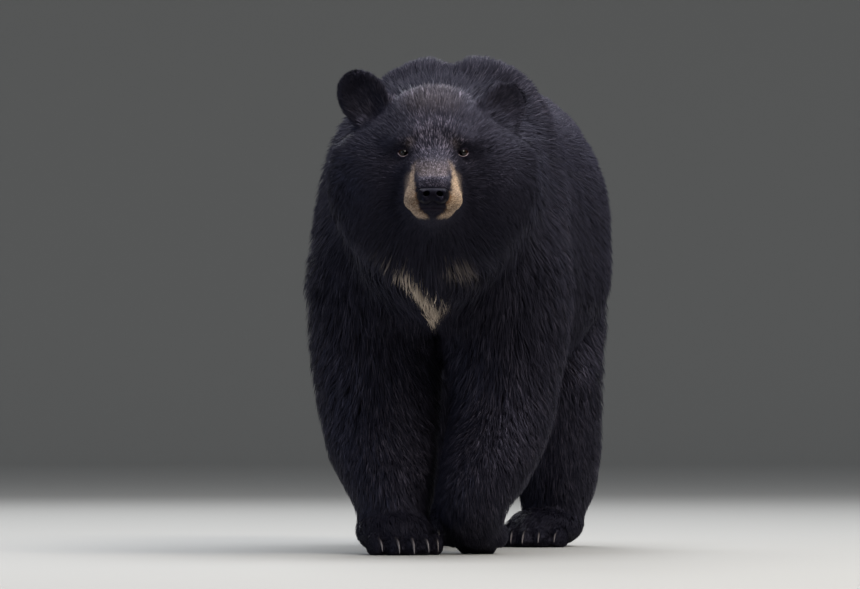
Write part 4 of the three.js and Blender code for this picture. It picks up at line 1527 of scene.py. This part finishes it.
def unwrap_trunk(p):
    """Angle about a line along the spine, and the way along it."""
    return np.stack([circled(p[:, 0], p[:, 2] - 620), (p[:, 1] + 520) / 1660], 1)


def unwrap_legs(p):
    """Angle about each leg's own line, the right leg in the left half, and the height."""
    middle = np.zeros((len(p), 2), np.float32)
    for leg, mine in nearest_legs(p):
        middle = np.where(mine, np.stack(leg_middle(leg, p[:, 2]), 1), middle)
    turn = circled(p[:, 0] - middle[:, 0], p[:, 1] - middle[:, 1])
    return np.stack([(turn + (p[:, 0] > 0)) / 2, p[:, 2] / 760], 1)


PIECES = {
    "coat_face": (unwrap_head, ["head", "muzzle", "lower_jaw"]),
    "coat_head_and_neck": (unwrap_head, ["neck", "ear_right", "ear_left"]),
    "coat_shoulders": (unwrap_trunk, ["chest"]),
    "coat_barrel": (unwrap_trunk, ["belly"]),
    "coat_rump": (unwrap_trunk, ["rump", "tail"]),
    "coat_forelegs": (unwrap_legs, ["forearm_right", "forearm_left"]),
    "coat_hindlegs": (unwrap_legs, ["shank_right", "shank_left"]),
}
TUFTS = 66000
SPANS = 2
FACE_LOCK, BODY_LOCK = 7.0, 18.0


def piece_numbers(p, share):
    """Which coat piece each point belongs to, as its number in PIECES."""
    q = to_head(p)
    head = share[:, CRANIUM] + share[:, MUZZLE] + share[:, EAR] > 0.5
    leg = share[:, SHAFT] + share[:, FOOT] > 0.5
    number = np.where(p[:, 1] < 250, 2, np.where(p[:, 1] < 620, 3, 4))
    number = np.where(share[:, NECK] > 0.5, 1, number)
    number = np.where(head, np.where((q[:, 1] < 80) & (share[:, EAR] < 0.3), 0, 1), number)
    return np.where(leg, np.where(p[:, 1] < 420, 5, 6), number)


# Half width of the crease behind the muzzle, by depth under the eyes. Painted shade is laid along the
# crease.
CREASE_DEPTHS = [-10, 12, 27, 51, 82, 101, 121]
CREASE_HALF = [24, 30, 37, 45, 53, 53, 40]


def shade_of(p, normals, inner, pale):
    """Painted shade: inside the ears, beside the muzzle, on the nape, chest and belly, on the inner legs.
    """
    # Painted shade on the chest under the head (kept off the pale chest mark), under the belly and between
    # the legs.
    chest = ramp(-p[:, 1], 40, 140) * ramp(720 - p[:, 2], 0, 120) * ramp(p[:, 2], 330, 430) * (1 - pale)
    under = ramp(-normals[:, 2], 0.2, 0.8) * ramp(p[:, 1], -140, -40) * ramp(p[:, 2], 250, 330)
    between = ramp(-normals[:, 0] * np.sign(p[:, 0]), 0.2, 0.8) * fade(p[:, 2], 420, 560)
    x, y, z = to_head(p).T
    wide = np.abs(x)
    # Painted shadow of the head on the nape, and painted shade in the crease beside the muzzle.
    nape = ramp(y, 190, 250) * ramp(z, 20, 70) * fade(z, 125, 180) * fade(wide, 110, 180)
    edge = np.interp(-z, CREASE_DEPTHS, CREASE_HALF)
    crease = bump_at(wide, edge + 9, 8) * ramp(-y, -40, 0) * ramp(-z, -16, 6) * fade(-z, 100, 125)
    inner = np.maximum(inner, 0.6 * crease)
    dark = (1 - 0.85 * inner) * (1 - 0.6 * under) * (1 - 0.35 * between) * (1 - 0.55 * nape)
    return dark * (1 - 0.4 * chest)


def make_coat(values, quads, material):
    """The coat's pieces: tufts sown on each piece's own quads, with the values they are shaded by.

    Off the face the markings are read again at the tufts, so that a mark keeps its place at the
    tips of the coat. Each tuft has its own small spot on the OFBake map.
    """
    weight = hair_density(values)[quads].mean(1)
    quad_number = piece_numbers(values["at"], values["share"])[quads[:, 0]]
    for number, (name, (unwrap, nodes)) in enumerate(PIECES.items()):
        draws = np.random.default_rng(100 + number)
        root = sow(values, quads, weight * (quad_number == number), TUFTS, draws)
        root["wide"] = 0.55 + 0.024 * root["long"]
        root["pull"] = 0.15 + 0.7 * ramp(root["long"], 8, 45)
        root["lock_size"] = FACE_LOCK if number == 0 else BODY_LOCK
        made = blades(root, SPANS, draws)
        per = made["per"]
        obj = mesh_object(name, made["points"], made["loops"], made["starts"], material)
        if number > 0:
            root["marks"] = markings(made["middle"], regions(made["middle"]))
        shade = shade_of(root["at"], root["normal"], root["inner"], root["marks"][:, 1])
        keep(obj, "marks", np.repeat(root["marks"], per, axis=0))
        keep(obj, "along", made["along"])
        keep(obj, "chance", made["chance"])
        keep(obj, "lie", np.repeat(made["lie"], per, axis=0))
        keep(obj, "outward", np.repeat(root["normal"], per, axis=0))
        keep(obj, "shade", np.repeat(shade, per))
        spot = np.repeat(unwrap(root["at"]), per, axis=0)
        spot = spot + 0.003 * (np.stack([made["across"], made["along"]], 1) - 0.5)
        layer = obj.data.uv_layers.new(name="OFBake")
        layer.data.foreach_set("uv", spot.clip(0, 1)[made["loops"]].astype(np.float32).ravel())
        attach(obj, "root")
        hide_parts(*nodes)


# ---- Studio.


FLOOR_RADIUS, COVE_RADIUS, WALL_TOP = 22, 6, 13
FLOOR_ROUND = 96


def make_floor():
    """Round studio floor of 22 m radius that rises to a wall in a quarter circle all round."""
    turn = np.linspace(0, np.pi / 2, 20)[1:]
    rings = [0.0005, 3, 8, 14, FLOOR_RADIUS]
    wall = FLOOR_RADIUS + COVE_RADIUS
    radius = np.concatenate([rings, FLOOR_RADIUS + COVE_RADIUS * np.sin(turn), [wall]])
    height = np.concatenate([np.zeros(len(rings)), COVE_RADIUS - COVE_RADIUS * np.cos(turn), [WALL_TOP]])
    around = np.linspace(0, 2 * np.pi, FLOOR_ROUND, endpoint=False)
    r, u = np.meshgrid(radius, around, indexing="ij")
    z = np.broadcast_to(height[:, None], r.shape)
    points = np.stack([r * np.cos(u), r * np.sin(u), z], -1).reshape(-1, 3) / MM - SHIFT
    quads = grid_quads(len(radius), FLOOR_ROUND)
    obj = quad_object("floor", points.astype(np.float32), quads, floor_material())


# Panels: place, width and height, power in W, colour, and the point they face.
LIGHTS = {
    "sky_panel": ((1.2, 0.3, 7.0), (7, 7), 600, (0.97, 0.97, 1.0), (0, 0, 0.5)),
    "front_right": ((3.8, -3.9, 5.2), (2.4, 2.0), 300, (1.0, 0.92, 0.82), (0, 0, 0.5)),
    "behind": ((-2.2, 5.6, 4.6), (3.0, 3.0), 150, (0.95, 0.97, 1.0), (0, 0, 0.5)),
    "low_left": ((-4.4, -3.4, 1.7), (2.0, 2.0), 50, (0.66, 0.78, 1.0), (0, 0, 0.25)),
}
SKY_COLOUR, SKY_STRENGTH = (0.8, 0.83, 0.88, 1), 0.3


def place_object(name, data, at, along):
    """Puts a light or camera at a point, with its -Z axis along a direction."""
    obj = bpy.data.objects.new(name, data)
    obj.location = at
    obj.rotation_euler = along.to_track_quat("-Z", "Y").to_euler()
    bpy.context.scene.collection.objects.link(obj)
    return obj


def make_lights():
    """The panels of the LIGHTS table and an even pale sky."""
    for name, (at, size, power, colour, target) in LIGHTS.items():
        light = bpy.data.lights.new(name, "AREA")
        light.shape = "RECTANGLE"
        light.size, light.size_y = size
        light.energy = power
        light.color = colour
        place_object(name, light, at, Vector(target) - Vector(at))
    world = bpy.data.worlds.new("studio")
    world.use_nodes = True
    background = world.node_tree.nodes["Background"]
    background.inputs["Color"].default_value = SKY_COLOUR
    background.inputs["Strength"].default_value = SKY_STRENGTH
    bpy.context.scene.world = world
    bpy.context.scene.view_settings.view_transform = "Standard"


# The camera's picture in pixels: its size, where the body's origin falls in it, and the lens.
PICTURE_WIDTH, PICTURE_HEIGHT = 860, 589
ORIGIN_COLUMN, ORIGIN_ROW = 440, 408
FOCAL_PIXELS = 7297.0
CAMERA_DISTANCE, CAMERA_HEIGHT = 14.0, 0.28
SENSOR_WIDTH = 36.0


def make_camera():
    """A long lens 14 m in front, level with the bear's knees, aimed a little up."""
    back = Vector((math.sin(HEAD_YAW), -math.cos(HEAD_YAW), 0))
    at = Vector(SHIFT * MM) + back * CAMERA_DISTANCE
    at.z = CAMERA_HEIGHT + float(SHIFT[2]) * MM
    right = Vector((math.cos(HEAD_YAW), math.sin(HEAD_YAW), 0))
    across = (PICTURE_WIDTH / 2 - ORIGIN_COLUMN) / FOCAL_PIXELS
    up = (ORIGIN_ROW - PICTURE_HEIGHT / 2) / FOCAL_PIXELS
    camera = bpy.data.cameras.new("camera")
    camera.sensor_width = SENSOR_WIDTH
    camera.lens = SENSOR_WIDTH * FOCAL_PIXELS / PICTURE_WIDTH
    camera.clip_end = 100
    obj = place_object("camera", camera, at, -back + right * across + Vector((0, 0, up)))
    bpy.context.scene.camera = obj


skin_values, skin_quads = make_skin(skin_material())
make_coat(skin_values, skin_quads, coat_material())
eye = eye_material()
for side in SIDES:
    eyeball(side, eye)
nose_piece(nose_material())
horn = claw_material()
for name in LEGS:
    claw_set(name, horn)
make_floor()
make_lights()
make_camera()
